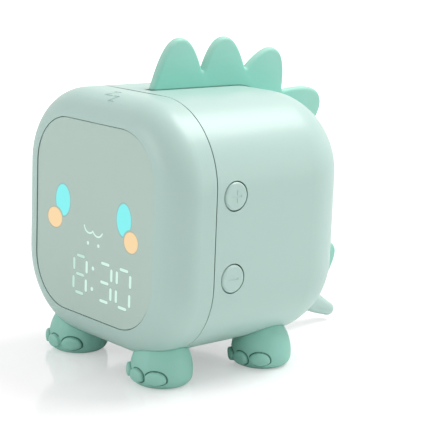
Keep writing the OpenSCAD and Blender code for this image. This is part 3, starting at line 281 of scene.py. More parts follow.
def make_lit_bar():
    """Mask of a round-ended bar in the plane of the face: flat where Flat is 1, upright where it is 0."""
    tree, g, given, result = new_group(
        "lit_bar",
        [("X", "Float", 0.0), ("Z", "Float", 0.0), ("Middle X", "Float", 0.0), ("Middle Z", "Float", 0.0),
         ("Half long", "Float", 1.0), ("Half wide", "Float", 0.5), ("Flat", "Float", 1.0)],
        [("Mask", "Float")])
    soft = 0.3
    dx = g.minus(given["X"], given["Middle X"])
    dz = g.minus(given["Z"], given["Middle Z"])
    upright = g.minus(1.0, given["Flat"])
    along = g.plus(g.times(dx, given["Flat"]), g.times(dz, upright))
    across = g.plus(g.times(dz, given["Flat"]), g.times(dx, upright))
    straight = g.minus(given["Half long"], given["Half wide"])
    over = g.larger(g.minus(g.amount(along), straight), 0.0)
    g.put(result["Mask"], g.ramp(g.minus(g.length(over, across), given["Half wide"]), soft, -soft))
    return tree


def make_lit_oval():
    """Mask of a lit oval in the plane of the face."""
    tree, g, given, result = new_group(
        "lit_oval",
        [("X", "Float", 0.0), ("Z", "Float", 0.0), ("Middle X", "Float", 0.0), ("Middle Z", "Float", 0.0),
         ("Half wide", "Float", 1.0), ("Half high", "Float", 1.0), ("Edge", "Float", 0.25)],
        [("Mask", "Float")])
    u = g.math("DIVIDE", g.minus(given["X"], given["Middle X"]), given["Half wide"])
    v = g.math("DIVIDE", g.minus(given["Z"], given["Middle Z"]), given["Half high"])
    least = g.math("MINIMUM", given["Half wide"], given["Half high"])
    away = g.times(g.minus(g.length(u, v), 1.0), least)
    g.put(result["Mask"], g.ramp(away, given["Edge"], g.times(given["Edge"], -0.6)))
    return tree


def new_material(name):
    material = bpy.data.materials.new(name)
    material.use_nodes = True
    material.node_tree.nodes.clear()
    g = Graph(material.node_tree)
    shader = g.node("ShaderNodeBsdfPrincipled")
    out = g.node("ShaderNodeOutputMaterial")
    g.tree.links.new(shader.outputs[0], out.inputs[0])
    return material, g, shader.inputs


def bump(g, shader, height, depth):
    made = g.node("ShaderNodeBump")
    made.inputs["Strength"].default_value = 1.0
    made.inputs["Distance"].default_value = depth
    g.put(made.inputs["Height"], height)
    g.put(shader["Normal"], made.outputs[0])


moulded = make_moulded_finish()
lit_bar = make_lit_bar()
lit_oval = make_lit_oval()

PALE_MINT = (0.478, 0.661, 0.606)
DEEP_MINT = (0.276, 0.690, 0.572)
FOOT_MINT = (0.322, 0.655, 0.550)


def plastic(name, colour, tone=0.02, cloud=30.0, gloss=0.45, spread=0.06, grain=2600.0, grain_depth=0.5,
            relief=0.00002, metallic=0.0, coat=0.0, sheen=0.0, subsurface=0.0):
    """Plain moulded finish with its own values."""
    material, g, shader = new_material(name)
    finish = g.use(moulded, Place=g.place(), Colour=colour, Tone=tone, Cloud_size=cloud, Gloss=gloss,
                   Gloss_spread=spread, Grain_size=grain, Grain_depth=grain_depth)
    g.put(shader["Base Color"], finish["Colour"])
    g.put(shader["Roughness"], finish["Roughness"])
    shader["Metallic"].default_value = metallic
    shader["Coat Weight"].default_value = coat
    shader["Coat Roughness"].default_value = 0.25
    shader["Sheen Weight"].default_value = sheen
    shader["Subsurface Weight"].default_value = subsurface
    shader["Subsurface Radius"].default_value = (0.003, 0.004, 0.0035)
    shader["Subsurface Scale"].default_value = 0.4
    bump(g, shader, finish["Height"], relief)
    return material, g, shader, finish


def within(g, distance, edge):
    """1 up to an edge, running out just past it."""
    return g.ramp(distance, edge + 0.05, edge + 0.01)


def seam_shade(g, depth, rise, side):
    """Painted shade along the open line between the shells: dark and wide over the top, faint at the top's
    corners, gone low down.
    """
    over_top = g.times(g.ramp(side, 24.0, 8.0), g.ramp(rise, 20.0, 36.0))
    half = g.plus(g.times(over_top, 0.5), SEAM_GAP / 2)
    off_seam = g.minus(g.amount(g.minus(depth, SEAM_Y)), half)
    shade = g.plus(g.ramp(rise, 48.3, 42.0, 0.1, 0.5), g.times(over_top, 0.9))
    seam = g.times(g.ramp(off_seam, 0.06, 0.0), shade)
    return g.times(seam, g.ramp(rise, -36.0, -14.0))


def hole_shade(g, depth, rise, level):
    """Painted shade in the gap round a button, darker above it."""
    off_level = g.minus(level, BUTTON_PITCH / 2)
    away = g.length(g.minus(depth, BUTTON_Y), off_level)
    above = g.times(g.math("SIGN", rise), off_level)
    return g.times(within(g, away, BUTTON_D / 2 + BUTTON_GAP), g.ramp(above, 1.0, 5.0, 0.3, 0.8))


def slot_shade(g, depth, height, side):
    """Painted shade in the slot that the crest stands in."""
    behind = g.times(g.ramp(depth, SLOT_Y - 0.05, SLOT_Y - 0.01), g.ramp(height, 25.0, 26.0))
    return g.times(within(g, side, CREST_T / 2 + CREST_GAP), behind)


def opening_shade(g, x, depth, rise, level):
    """Painted shade in the gap round the face panel: clearest on the left, gone on the right."""
    gap = g.times(within(g, panel_distance(g, x, level), PANEL_GAP), g.ramp(depth, 4.0, 3.8))
    upright = g.times(g.ramp(x, -33.0, -36.0), g.ramp(level, 30.0, 16.0))
    fading = g.ramp(g.plus(x, g.times(rise, 0.6)), 8.0, -14.0)
    return g.times(gap, g.times(fading, g.plus(0.2, g.times(upright, 0.55))))


def shell_material():
    """Pale moulding with painted shade along its open lines."""
    material, g, shader, finish = plastic(
        "pale_mint_shell", PALE_MINT, tone=0.014, cloud=22.0, gloss=0.46, spread=0.05, grain=3400.0,
        relief=0.000012, coat=0.25)
    xyz = g.split(g.vector("MULTIPLY", g.place(), (MM_PER_M, MM_PER_M, MM_PER_M)))
    depth = g.plus(xyz[1], SHIFT_Y)
    rise = g.minus(xyz[2], MID_Z + FOOT_H)
    level = g.amount(rise)
    side = g.amount(xyz[0])
    painted_joint_shade = g.largest([
        seam_shade(g, depth, rise, side),
        hole_shade(g, depth, rise, level),
        slot_shade(g, depth, xyz[2], side),
        opening_shade(g, xyz[0], depth, rise, level),
    ])
    # painted shade: dark green mixed into the colour along the seam, button holes, crest slot and panel gap
    g.put(shader["Base Color"], g.mix(g.times(painted_joint_shade, 0.85), finish["Colour"], (0.05, 0.09, 0.08)))
    return material


def panel_distance(g, x, level):
    """Distance outside the panel's outline, in mm, from x and the height off the middle."""
    wide = g.larger(g.minus(g.amount(x), PANEL_W / 2 - PANEL_R), 0.0)
    high = g.larger(g.minus(level, PANEL_H / 2 - PANEL_R), 0.0)
    return g.minus(g.length(wide, high), PANEL_R)


def crest_material():
    """Soft silicone: deeper at its foot and paler towards the tips, with painted light paling the rims and a
    thin painted shade line at its very foot.
    """
    material, g, shader, finish = plastic(
        "deep_mint_crest", DEEP_MINT, tone=0.02, cloud=40.0, gloss=0.5, grain=3000.0, relief=0.000012,
        subsurface=0.15)
    xyz = g.split(g.place())
    dy = g.larger(g.minus(xyz[1], (SPINE_Y - SHIFT_Y) * MM), 0.0)
    dz = g.larger(g.minus(xyz[2], (SPINE_Z + FOOT_H) * MM), 0.0)
    rise = g.minus(g.length(dy, dz), BACK_R * MM)
    tips = g.ramp(rise, 0.002, 0.021)
    # painted shade: a thin dark line where the crest meets its slot
    painted_foot_shade = g.ramp(rise, 0.0006, 0.0001)
    # painted light: the rounded rims are paled as if they caught and passed more light
    rim = g.ramp(g.amount(xyz[0]), CREST_T * 0.5 * MM, CREST_T * 0.2 * MM)
    body_tone = g.mix(g.times(tips, 0.26), finish["Colour"], (0.50, 0.64, 0.56))
    body_tone = g.mix(g.times(rim, 0.55), body_tone, (0.46, 0.72, 0.625))
    g.put(shader["Base Color"], g.mix(g.times(painted_foot_shade, 0.75), body_tone, (0.03, 0.16, 0.12)))
    return material


EYE_X, EYE_Z, EYE_W, EYE_H = 19.35, 4.6, 4.6, 6.27
CHEEK_X, CHEEK_Z, CHEEK_W, CHEEK_H, CHEEK_RIM = 24.2, -3.0, 4.5, 4.0, 0.5
DIGIT_ROW, DIGIT_COLUMN, DIGIT_Z = 7.3, 4.05, -21.9
DIGIT_LEAN = math.tan(math.radians(2.5))
# Each stroke of a digit: its column, its row and whether it lies flat
STROKES = {
    "a": (0, 1, True), "b": (1, 0.5, False), "c": (1, -0.5, False), "d": (0, -1, True),
    "e": (-1, -0.5, False), "f": (-1, 0.5, False), "g": (0, 0, True),
}
# Half length and half width of a stroke that lies flat and of one that stands
FLAT_STROKE, UPRIGHT_STROKE = (2.75, 0.72), (2.6, 0.88)
# The time: middle of each digit and its lit strokes; most of the first digit is dimmer
DIM_DIGIT = [(-7.25, "adefg")]
LIT_DIGITS = [(-7.25, "bc"), (8.4, "abcdg"), (19.9, "abcdef")]
# Dots under the mouth and between the digits: x, z and radius
DOTS = [(-2.5, -8.6, 0.8), (4.1, -8.6, 0.8), (1.0, -17.9, 0.85), (0.55, -26.0, 0.85)]
# Mouth, two hanging arcs that meet in a cusp: side of the cusp, x, z, radius and top of each
MOUTH_ARCS = [(1, -1.9, -1.4, 3.25, -1.6), (-1, 3.4, -1.7, 3.5, -2.9)]
MOUTH_CUSP = 0.5
EYE_GLOW, CHEEK_GLOW = (0.190, 0.830, 0.835), (0.900, 0.640, 0.340)
STROKE_GLOW, DIM_GLOW = (0.620, 0.860, 0.765), (0.500, 0.735, 0.635)
BLACK = (0.0, 0.0, 0.0)


def eyes_and_cheeks(g, x, z):
    """Masks of the eyes and of the cheeks; a cheek and a thin rim round it cover the eye."""
    eyes, cheeks = [], []
    for side in (-1, 1):
        eye = g.use(lit_oval, X=x, Z=z, Middle_X=side * EYE_X + 0.1, Middle_Z=EYE_Z - side * 0.5,
                    Half_wide=EYE_W - side * 0.2, Half_high=EYE_H, Edge=0.5)
        spot = {"X": x, "Z": z, "Middle_X": side * CHEEK_X - 0.25, "Middle_Z": CHEEK_Z - side * 0.45}
        wide = CHEEK_W - side * 0.3
        cheek = g.use(lit_oval, **spot, Half_wide=wide, Half_high=CHEEK_H, Edge=0.45)
        rim = g.use(lit_oval, **spot, Half_wide=wide + CHEEK_RIM, Half_high=CHEEK_H + CHEEK_RIM, Edge=0.35)
        eyes.append(g.times(eye["Mask"], g.minus(1.0, rim["Mask"])))
        cheeks.append(cheek["Mask"])
    return g.largest(eyes), g.largest(cheeks)


def digit_strokes(g, x, z, digits):
    """Mask of the given strokes of the time."""
    bars = []
    for middle, letters in digits:
        for letter in letters:
            column, row, flat = STROKES[letter]
            high = row * DIGIT_ROW
            half_long, half_wide = FLAT_STROKE if flat else UPRIGHT_STROKE
            bar = g.use(lit_bar, X=x, Z=z, Middle_X=middle + column * DIGIT_COLUMN + high * DIGIT_LEAN,
                        Middle_Z=high + DIGIT_Z, Half_long=half_long, Half_wide=half_wide,
                        Flat=1.0 if flat else 0.0)
            bars.append(bar["Mask"])
    return g.largest(bars)


def lit_dots(g, x, z):
    return g.largest([
        g.use(lit_oval, X=x, Z=z, Middle_X=px, Middle_Z=pz, Half_wide=r, Half_high=r, Edge=0.2)["Mask"]
        for px, pz, r in DOTS
    ])


def mouth_line(g, x, z):
    arcs = []
    for way, px, pz, r, top in MOUTH_ARCS:
        away = g.length(g.minus(x, px), g.minus(z, pz))
        line = g.ramp(g.amount(g.minus(away, r)), 0.7, 0.25)
        below = g.ramp(z, top, top - 0.4)
        near = g.ramp(g.times(g.minus(x, MOUTH_CUSP), way), 0.3, -0.1)
        arcs.append(g.times(line, g.times(below, near)))
    return g.largest(arcs)


def panel_material():
    """Translucent face with the lit shapes behind it."""
    material, g, shader, finish = plastic(
        "face_panel", (0.505, 0.655, 0.590), tone=0.012, cloud=18.0, gloss=0.38, spread=0.05, grain=3000.0,
        relief=0.000008, coat=0.1)
    xyz = g.split(g.place())
    x = g.times(xyz[0], MM_PER_M)
    z = g.minus(g.times(xyz[2], MM_PER_M), MID_Z + FOOT_H)
    front = g.ramp(xyz[1], (PANEL_SINK + 0.3 - SHIFT_Y) * MM, (PANEL_SINK + 0.1 - SHIFT_Y) * MM)
    eyes, cheeks = eyes_and_cheeks(g, x, z)
    dim = digit_strokes(g, x, z, DIM_DIGIT)
    strokes = g.largest([dim, digit_strokes(g, x, z, LIT_DIGITS), lit_dots(g, x, z), mouth_line(g, x, z)])
    glow = g.mix(eyes, BLACK, EYE_GLOW)
    glow = g.mix(cheeks, glow, CHEEK_GLOW)
    glow = g.mix(strokes, glow, g.mix(dim, STROKE_GLOW, DIM_GLOW))
    lit = g.times(g.largest([eyes, cheeks, strokes]), front)
    g.put(shader["Base Color"], g.mix(g.times(lit, 0.97), finish["Colour"], BLACK))
    g.put(shader["Emission Color"], g.mix(lit, BLACK, glow))
    shader["Emission Strength"].default_value = 1.0
    return material


def foot_material():
    """Soft silicone; painted shade darkens the grooves round the toenails."""
    material, g, shader, finish = plastic(
        "foot_silicone", FOOT_MINT, tone=0.02, cloud=60.0, gloss=0.5, grain=3000.0, relief=0.000012,
        subsurface=0.1)
    groove = g.node("ShaderNodeAttribute", attribute_name="groove").outputs["Fac"]
    # painted shade: the groove share mixes a dark green into the colour
    g.put(shader["Base Color"], g.mix(groove, finish["Colour"], (0.008, 0.085, 0.058)))
    return material


def button_material():
    """Same moulding as the shell, a little glossier."""
    return plastic(
        "button_mint", PALE_MINT, tone=0.012, cloud=60.0, gloss=0.36, grain=3200.0, relief=0.000008,
        coat=0.3)[0]


def board_material():
    """Green board: traces under the mask, pads and vias."""
    material, g, shader, finish = plastic(
        "green_board", (0.03, 0.16, 0.09), tone=0.05, cloud=90.0, gloss=0.32, grain=2200.0, relief=0.00002)
    grid = g.node("ShaderNodeTexBrick", offset=0.5)
    grid.inputs["Scale"].default_value = 240.0
    grid.inputs["Mortar Size"].default_value = 0.03
    g.put(grid.inputs["Vector"], g.place())
    g.put(grid.inputs["Color1"], (0.0, 0.0, 0.0))
    g.put(grid.inputs["Color2"], (0.0, 0.0, 0.0))
    g.put(grid.inputs["Mortar"], (1.0, 1.0, 1.0))
    vias = g.node("ShaderNodeTexVoronoi")
    vias.inputs["Scale"].default_value = 330.0
    g.put(vias.inputs["Vector"], g.place())
    pads = g.ramp(vias.outputs["Distance"], 0.16, 0.12)
    traced = g.mix(g.times(grid.outputs["Color"], 0.6), finish["Colour"], (0.06, 0.28, 0.15))
    g.put(shader["Base Color"], g.mix(pads, traced, (0.55, 0.52, 0.40)))
    return material


def lead_material():
    """Insulated wire: two twisted cores that show as faint spirals."""
    material, g, shader, finish = plastic(
        "wire_insulation", (0.42, 0.06, 0.05), tone=0.05, cloud=120.0, gloss=0.38, grain=1800.0,
        relief=0.00002)
    wave = g.node("ShaderNodeTexWave", wave_type="BANDS", bands_direction="DIAGONAL")
    wave.inputs["Scale"].default_value = 190.0
    g.put(wave.inputs["Vector"], g.place())
    core = g.times(wave.outputs["Fac"], 0.35)
    g.put(shader["Base Color"], g.mix(core, finish["Colour"], (0.12, 0.02, 0.02)))
    return material


def metal_material(name, colour, gloss, streak):
    """Plated metal with fine drawn streaks."""
    material, g, shader, finish = plastic(
        name, colour, tone=0.04, cloud=140.0, gloss=gloss, spread=0.2, grain=1500.0, relief=0.00001,
        metallic=1.0)
    xyz = g.split(g.place())
    drawn = g.noise(g.join(g.times(xyz[0], 0.05), xyz[1], xyz[2]), streak, 2.0)
    g.put(shader["Roughness"], g.plus(finish["Roughness"], g.times(g.minus(drawn, 0.5), 0.2)))
    return material


def make_materials():
    return {
        "shell": shell_material(),
        "panel": panel_material(),
        "crest": crest_material(),
        "foot_rubber": foot_material(),
        "button": button_material(),
        "board": board_material(),
        "white_film": plastic("white_film", (0.86, 0.88, 0.87), 0.02, 90.0, 0.5, grain=2000.0)[0],
        "dark_plastic": plastic(
            "black_plastic", (0.02, 0.022, 0.024), 0.1, 80.0, 0.5, grain=1800.0, relief=0.00003)[0],
        "led": plastic("lamp_package", (0.82, 0.79, 0.60), 0.04, 200.0, 0.25, grain=3000.0, coat=0.5)[0],
        "chip": plastic(
            "chip_epoxy", (0.018, 0.018, 0.02), 0.12, 150.0, 0.55, grain=4200.0, relief=0.00003)[0],
        "connector": plastic("nylon_socket", (0.72, 0.66, 0.50), 0.04, 90.0, 0.42, grain=1600.0)[0],
        "copper": metal_material("copper_foil", (0.72, 0.36, 0.20), 0.32, 900.0),
        "light_guide": plastic(
            "frosted_guide", (0.80, 0.90, 0.87), 0.02, 60.0, 0.3, grain=1500.0, subsurface=0.3)[0],
        "flex_board": plastic("flexible_strip", (0.80, 0.79, 0.72), 0.03, 110.0, 0.4, grain=2000.0)[0],
        "foam": plastic(
            "closed_cell_foam", (0.09, 0.095, 0.10), 0.12, 120.0, 0.85, grain=900.0, relief=0.0001)[0],
        "plated_steel": metal_material("nickel_plate", (0.58, 0.58, 0.56), 0.28, 1200.0),
        "cone": plastic(
            "paper_cone", (0.03, 0.03, 0.033), 0.15, 70.0, 0.8, grain=700.0, relief=0.00008, sheen=0.2)[0],
        "magnet": metal_material("magnet_cup", (0.22, 0.22, 0.23), 0.4, 700.0),
        "battery_wrap": plastic(
            "foil_pouch", (0.30, 0.40, 0.55), 0.05, 50.0, 0.3, grain=900.0, relief=0.00006, coat=0.3)[0],
        "screw_steel": metal_material("zinc_screw", (0.56, 0.57, 0.58), 0.33, 1600.0),
        "lead": lead_material(),
    }


# ------------------------------------------------------------------ piece helpers
def finish_piece(bm, name, material, body, stands_for, sharp=None):
    """Mesh object at the origin, from a bmesh in metres, in place of the nodes it stands for."""
    bmesh.ops.remove_doubles(bm, verts=bm.verts, dist=2e-6)
    bmesh.ops.recalc_face_normals(bm, faces=bm.faces)
    for face in bm.faces:
        face.smooth = True
    if sharp:
        for edge in bm.edges:
            if len(edge.link_faces) == 2 and edge.calc_face_angle(0.0) > math.radians(sharp):
                edge.smooth = False
    mesh = bpy.data.meshes.new(name)
    bm.to_mesh(mesh)
    bm.free()
    mesh.materials.append(material)
    piece = bpy.data.objects.new(name, mesh)
    bpy.context.scene.collection.objects.link(piece)
    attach(piece, body)
    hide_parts(*stands_for)


def body_inset(y):
    """How far the body's side has turned in at depth y."""
    if y < FRONT_R:
        return FRONT_R - math.sqrt(max(FRONT_R ** 2 - (FRONT_R - y) ** 2, 0))
    if y > SPINE_Y:
        return BACK_R - math.sqrt(max(BACK_R ** 2 - (y - SPINE_Y) ** 2, 0))
    return 0.0


def underside(x, y):
    """Height of the body's underside over its lowest line."""
    inset = body_inset(y)
    r = CORNER_R - inset
    out = min(max(abs(x) - FLAT_X, 0.0), r)
    return inset + r - math.sqrt(r * r - out * out)


# ------------------------------------------------------------------ feet
def barrel(z):
    """Radius of the side of a foot at a height over the floor."""
    return FOOT_D / 2 - FOOT_BARREL + math.sqrt(FOOT_BARREL ** 2 - (z - FOOT_H * 0.55) ** 2)


# Lower corners that each toenail is drawn out to: direction in degrees and how far
NAIL_CORNERS = {-1: ((204, 0.13),), 0: ((-28, 0.12), (208, 0.12)), 1: ((-24, 0.13),)}
# Where the groove round each toenail runs out: direction and half width, in degrees
GROOVE_OUT = {-1: (330, 20), 0: (212, 74), 1: (210, 22)}
# The groove's place and half width and the nail's edge, as shares of the nail
GROOVE_AT, GROOVE_HALF, NAIL_EDGE = 1.07, 0.07, 0.07
# Degrees over which the groove runs out, and its depth in mm
GROOVE_FADE, GROOVE_DEPTH = 14, 0.25
# Width of the middle nail as a share of its neighbours'
MIDDLE_NAIL = 0.85


def off_direction(a, at):
    """Degrees between a direction in radians and one in degrees."""
    return abs((math.degrees(a) - at + 180) % 360 - 180)


def nail_outline(k, a):
    """Edge of a toenail in direction a, as a share of its plain oval: drawn out to its lower corners."""
    out = 1.0
    for at, much in NAIL_CORNERS[k]:
        out += much * max(1 - off_direction(a, at) / 45, 0) ** 1.6
    return out


def nail_line(k, a):
    """How clearly the groove round a toenail shows in direction a: it runs out under the nail."""
    faint, half = GROOVE_OUT[k]
    return min(max((off_direction(a, faint) - half) / GROOVE_FADE, 0), 1)


def nail_relief(turn, z, drop, slant):
    """Share of a toenail at a place on the foot's side, height of its dome, and the groove round it."""
    for k in (-1, 0, 1):
        wide = TOE_W if k else TOE_W * MIDDLE_NAIL
        u = math.radians((turn - TOE_STEP * k + 180) % 360 - 180) * (FOOT_D / 2 + 0.75)
        w = z - (TOE_Z - drop + slant * k)
        if abs(u) < wide and abs(w) < TOE_H:
            a = math.atan2(w / TOE_H, u / wide)
            q = 2 * math.hypot(u / wide, w / TOE_H) / nail_outline(k, a)
            groove = math.exp(-((q - GROOVE_AT) / GROOVE_HALF) ** 4) * nail_line(k, a)
            if q < 1.3:
                inside = min(max((1.0 - q) / NAIL_EDGE, 0), 1)
                return inside * inside * (3 - 2 * inside), (1 - min(q, 1) ** 4) ** 0.5, groove
    return 0.0, 0.0, 0.0


def make_foot(name, x, y, twist, drop, slant, material):
    """Foot spun from a line, then shaped point by point: nails on its side, the body's underside on top."""
    # rings of the sole, its rounding, the side and the top, and points round each
    flat, curve, side, top, around = 4, 22, 52, 4, 320
    edge = barrel(FOOT_EDGE) - FOOT_EDGE
    line = [(edge * (k + 1) / (flat + 1), 0.0) for k in range(flat)]
    line += [(edge + FOOT_EDGE * math.sin(t), FOOT_EDGE * (1 - math.cos(t)))
             for t in (math.pi / 2 * k / curve for k in range(curve))]
    line += [(FOOT_D / 2, FOOT_EDGE + 0.1 * k) for k in range(side + 1)]
    line += [(FOOT_D / 2 - 2.0 * k, 20.0 + k) for k in range(1, top + 1)]
    bm = bmesh.new()
    row = bm.verts.layers.int.new("row")
    groove_layer = bm.verts.layers.float.new("groove")
    start = []
    for n, (r, z) in enumerate(line):
        v = bm.verts.new((0, -r, z))
        v[row] = n
        start.append(v)
    edges = [bm.edges.new(pair) for pair in zip(start, start[1:])]
    bmesh.ops.spin(bm, geom=start + edges, cent=(0, 0, 0), axis=(0, 0, 1), angle=2 * math.pi, steps=around,
                   use_merge=True)
    bmesh.ops.remove_doubles(bm, verts=bm.verts, dist=0.0005)
    first_nail, first_side, first_top = flat + 4, flat + curve, flat + curve + side + 1
    outward = 1 if x > 0 else -1
    for v in bm.verts:
        turn = math.atan2(v.co.x, -v.co.y)
        way = Vector((math.sin(turn), -math.cos(turn)))
        n = v[row]
        r, z = math.hypot(v.co.x, v.co.y), v.co.z
        if n >= first_side:
            cap = FOOT_H
            for _ in range(16):
                cap += 0.5 * (underside(x + barrel(cap) * way.x, y + barrel(cap) * way.y) + FOOT_H - cap)
            z = FOOT_EDGE + (cap - FOOT_EDGE) * min(n - first_side, side) / side
            r = barrel(z) - 0.3 * max(1 - (cap - z) / 0.4, 0) ** 2
        if n >= first_top:
            r *= 1 - (n - first_top + 1) / (top + 1)
            z = underside(x + r * way.x, y + r * way.y) + FOOT_H
        elif n >= first_nail:
            inside, dome, groove = nail_relief(math.degrees(turn) * outward - twist, z, drop, slant)
            nail = barrel(z) + TOE_OUT * (0.35 + 0.65 * dome)
            r += (nail - r) * inside - GROOVE_DEPTH * groove * (1 - inside)
            # the groove share is kept on the points for the painted shade in the grooves
            v[groove_layer] = groove
        v.co = (r * way.x, r * way.y, z)
    bmesh.ops.holes_fill(bm, edges=[e for e in bm.edges if e.is_boundary], sides=0)
    bmesh.ops.poke(bm, faces=[f for f in bm.faces if len(f.verts) > 4])
    for v in bm.verts:
        v.co = placed(x + v.co.x, y + v.co.y, v.co.z - FOOT_H)
    finish_piece(bm, name + "_toed", material, "housing", [name])


# ------------------------------------------------------------------ spine
def spine_turn(s):
    if s < TOP_L:
        return 0.0
    if s < TOP_L + CORNER_L:
        return math.pi / 2 * (s - TOP_L) / CORNER_L
    if s < SPINE_L:
        return math.pi / 2
    return math.pi / 2 - (s - SPINE_L) / TAIL_R


def spine_point(s):
    turn = spine_turn(s)
    if s < TOP_L:
        return CREST_Y + s, BODY_H
    if s < TOP_L + CORNER_L:
        return SPINE_Y + BACK_R * math.sin(turn), SPINE_Z + BACK_R * math.cos(turn)
    if s < SPINE_L:
        return BODY_D, SPINE_Z - (s - TOP_L - CORNER_L)
    return TAIL_Y - TAIL_R * math.sin(turn), TAIL_Z - TAIL_R * math.cos(turn)


def off_spine(s, along, out):
    (y, z), turn = spine_point(s), spine_turn(s)
    return (y + along * math.cos(turn) + out * math.sin(turn),
            z - along * math.sin(turn) + out * math.cos(turn))


def plate_line(s, w, h, lean, steps=64):
    line = []
    for k in range(steps + 1):
        u = 2 * k / steps - 1
        v = 1 - abs(u) ** BLUNT
        line.append(off_spine(s, u * w / 2 + lean * v, h * v))
    return line


def crossing(first, second):
    """Where the back of one plate's line meets the front of the next one's."""
    for i in range(len(first) - 2, 0, -1):
        (ax, ay), (bx, by) = first[i], first[i + 1]
        for j in range(len(second) - 1):
            (cx, cy), (dx, dy) = second[j], second[j + 1]
            rx, ry, sx, sy = bx - ax, by - ay, dx - cx, dy - cy
            d = rx * sy - ry * sx
            if abs(d) < 1e-9:
                continue
            t = ((cx - ax) * sy - (cy - ay) * sx) / d
            u = ((cx - ax) * ry - (cy - ay) * rx) / d
            if 0 <= t <= 1 and 0 <= u <= 1:
                return i, j, (ax + t * rx, ay + t * ry)
    return None


def crest_outline():
    lines = [plate_line(s * SPINE_L, w, h, lean) for s, w, h, lean in PLATES]
    outline, valleys, start = [], [], 0
    for n, line in enumerate(lines):
        met = crossing(line, lines[n + 1]) if n + 1 < len(lines) else None
        if met:
            valleys.append(met[2])
            outline += [p for p in line[start:met[0] + 1] if math.dist(p, met[2]) > VALLEY_OFF + 0.1]
            outline.append(met[2])
            start = met[1] + 1
            while math.dist(lines[n + 1][start], met[2]) < VALLEY_OFF + 0.1:
                start += 1
        else:
            outline += line[start:]
            start = 0
    end = SPINE_L + math.radians(BAND_END) * TAIL_R
    count = 34
    outline += [off_spine(end * (count - k) / count, 0.0, -WALL - 0.2) for k in range(count + 1)]
    return outline, valleys


def rounded_sheet(outline, valleys, steps=7):
    """Plate about x = 0 whose rims are rounded, from its outline in y and z; valleys get a small fillet."""
    bm = bmesh.new()
    verts = [bm.verts.new((0, y, z)) for y, z in outline]
    bm.faces.new(verts)
    bmesh.ops.remove_doubles(bm, verts=bm.verts, dist=0.02)
    low = [v for v in bm.verts if any(math.dist((v.co.y, v.co.z), p) < 0.01 for p in valleys)]
    bmesh.ops.bevel(bm, geom=low, offset=VALLEY_OFF, affect="VERTICES", segments=6, profile=0.5, material=-1)
    bm.faces.ensure_lookup_table()
    face = bm.faces[0]
    face.normal_update()
    if face.normal.x < 0:
        bmesh.ops.reverse_faces(bm, faces=[face])
    before = 0.0
    for k in range(1, steps + 1):
        t = math.pi / 2 * k / steps
        inset = CREST_EDGE * (math.cos(before) - math.cos(t))
        rise = CREST_T / 2 * (math.sin(t) - math.sin(before))
        bmesh.ops.inset_region(bm, faces=[face], thickness=inset, depth=rise, use_even_offset=True,
                               use_boundary=True)
        before = t
    bmesh.ops.mirror(bm, geom=bm.verts[:] + bm.edges[:] + bm.faces[:], axis="X", merge_dist=0.001)
    return bm


def place_all(bm):
    for v in bm.verts:
        v.co = placed(*v.co)


def make_crest(material):
    bm = rounded_sheet(*crest_outline())
    place_all(bm)
    finish_piece(bm, "crest_of_plates", material, "housing", ["spine_crest"], sharp=38)


def make_tail_plate(material):
    at = SPINE_L + math.radians(TAIL_PLATE_AT) * TAIL_R
    line = plate_line(at, TAIL_PLATE_W, TAIL_PLATE_H, TAIL_PLATE_LEAN)
    root = TAIL_PLATE_W / 2 - 1.0
    line += [off_spine(at, root * k / 4, -WALL + 0.6) for k in range(4, -5, -1)]
    bm = rounded_sheet(line, [])
    place_all(bm)
    finish_piece(bm, "last_plate", material, "housing", ["tail_plate"], sharp=38)


# ------------------------------------------------------------------ tail
# Angles along the tail, in degrees: the end of its sink, and where it starts to narrow and to round off
TAIL_SINK_TO, TAIL_NARROW_FROM, TAIL_ROUND_FROM = 14, 24, 25


def way_to_tip(a, start):
    """Share of the way from angle start to the tip."""
    return min(max((a - start) / (TAIL_SWEEP - start), 0), 1)


def tail_drop(a):
    """How far the top of the tail has dropped at angle a."""
    return TAIL_DROOP * (max(a - TAIL_DROOP_FROM, 0) / (TAIL_SWEEP - TAIL_DROOP_FROM)) ** 2


def tail_half(a):
    return TAIL_TIP + (TAIL_T / 2 - TAIL_TIP) * max(1 - a / TAIL_SWEEP, 0) ** TAIL_TAPER - tail_drop(a) / 2


def tail_width(a):
    t = way_to_tip(a, TAIL_NARROW_FROM)
    return TAIL_TIP + (TAIL_W / 2 - TAIL_TIP) * (1 + math.cos(math.pi * t)) / 2


def tail_ring(a, along, share, sides):
    """Points across the tail at angle a, moved along it and drawn in by share."""
    power = 2 / (4 - 1.8 * way_to_tip(a, TAIL_ROUND_FROM))
    depth = TAIL_R + TAIL_SINK * max(1 - a / TAIL_SINK_TO, 0) + tail_half(a) + tail_drop(a)
    turn = math.radians(a)
    points = []
    for j in range(sides):
        t = 2 * math.pi * j / sides
        c, s = math.cos(t), math.sin(t)
        d = depth + share * tail_half(a) * math.copysign(abs(s) ** power, s)
        points.append((share * tail_width(a) * math.copysign(abs(c) ** power, c),
                       TAIL_Y - d * math.cos(turn) + along * math.sin(turn),
                       TAIL_Z - d * math.sin(turn) - along * math.cos(turn)))
    return points


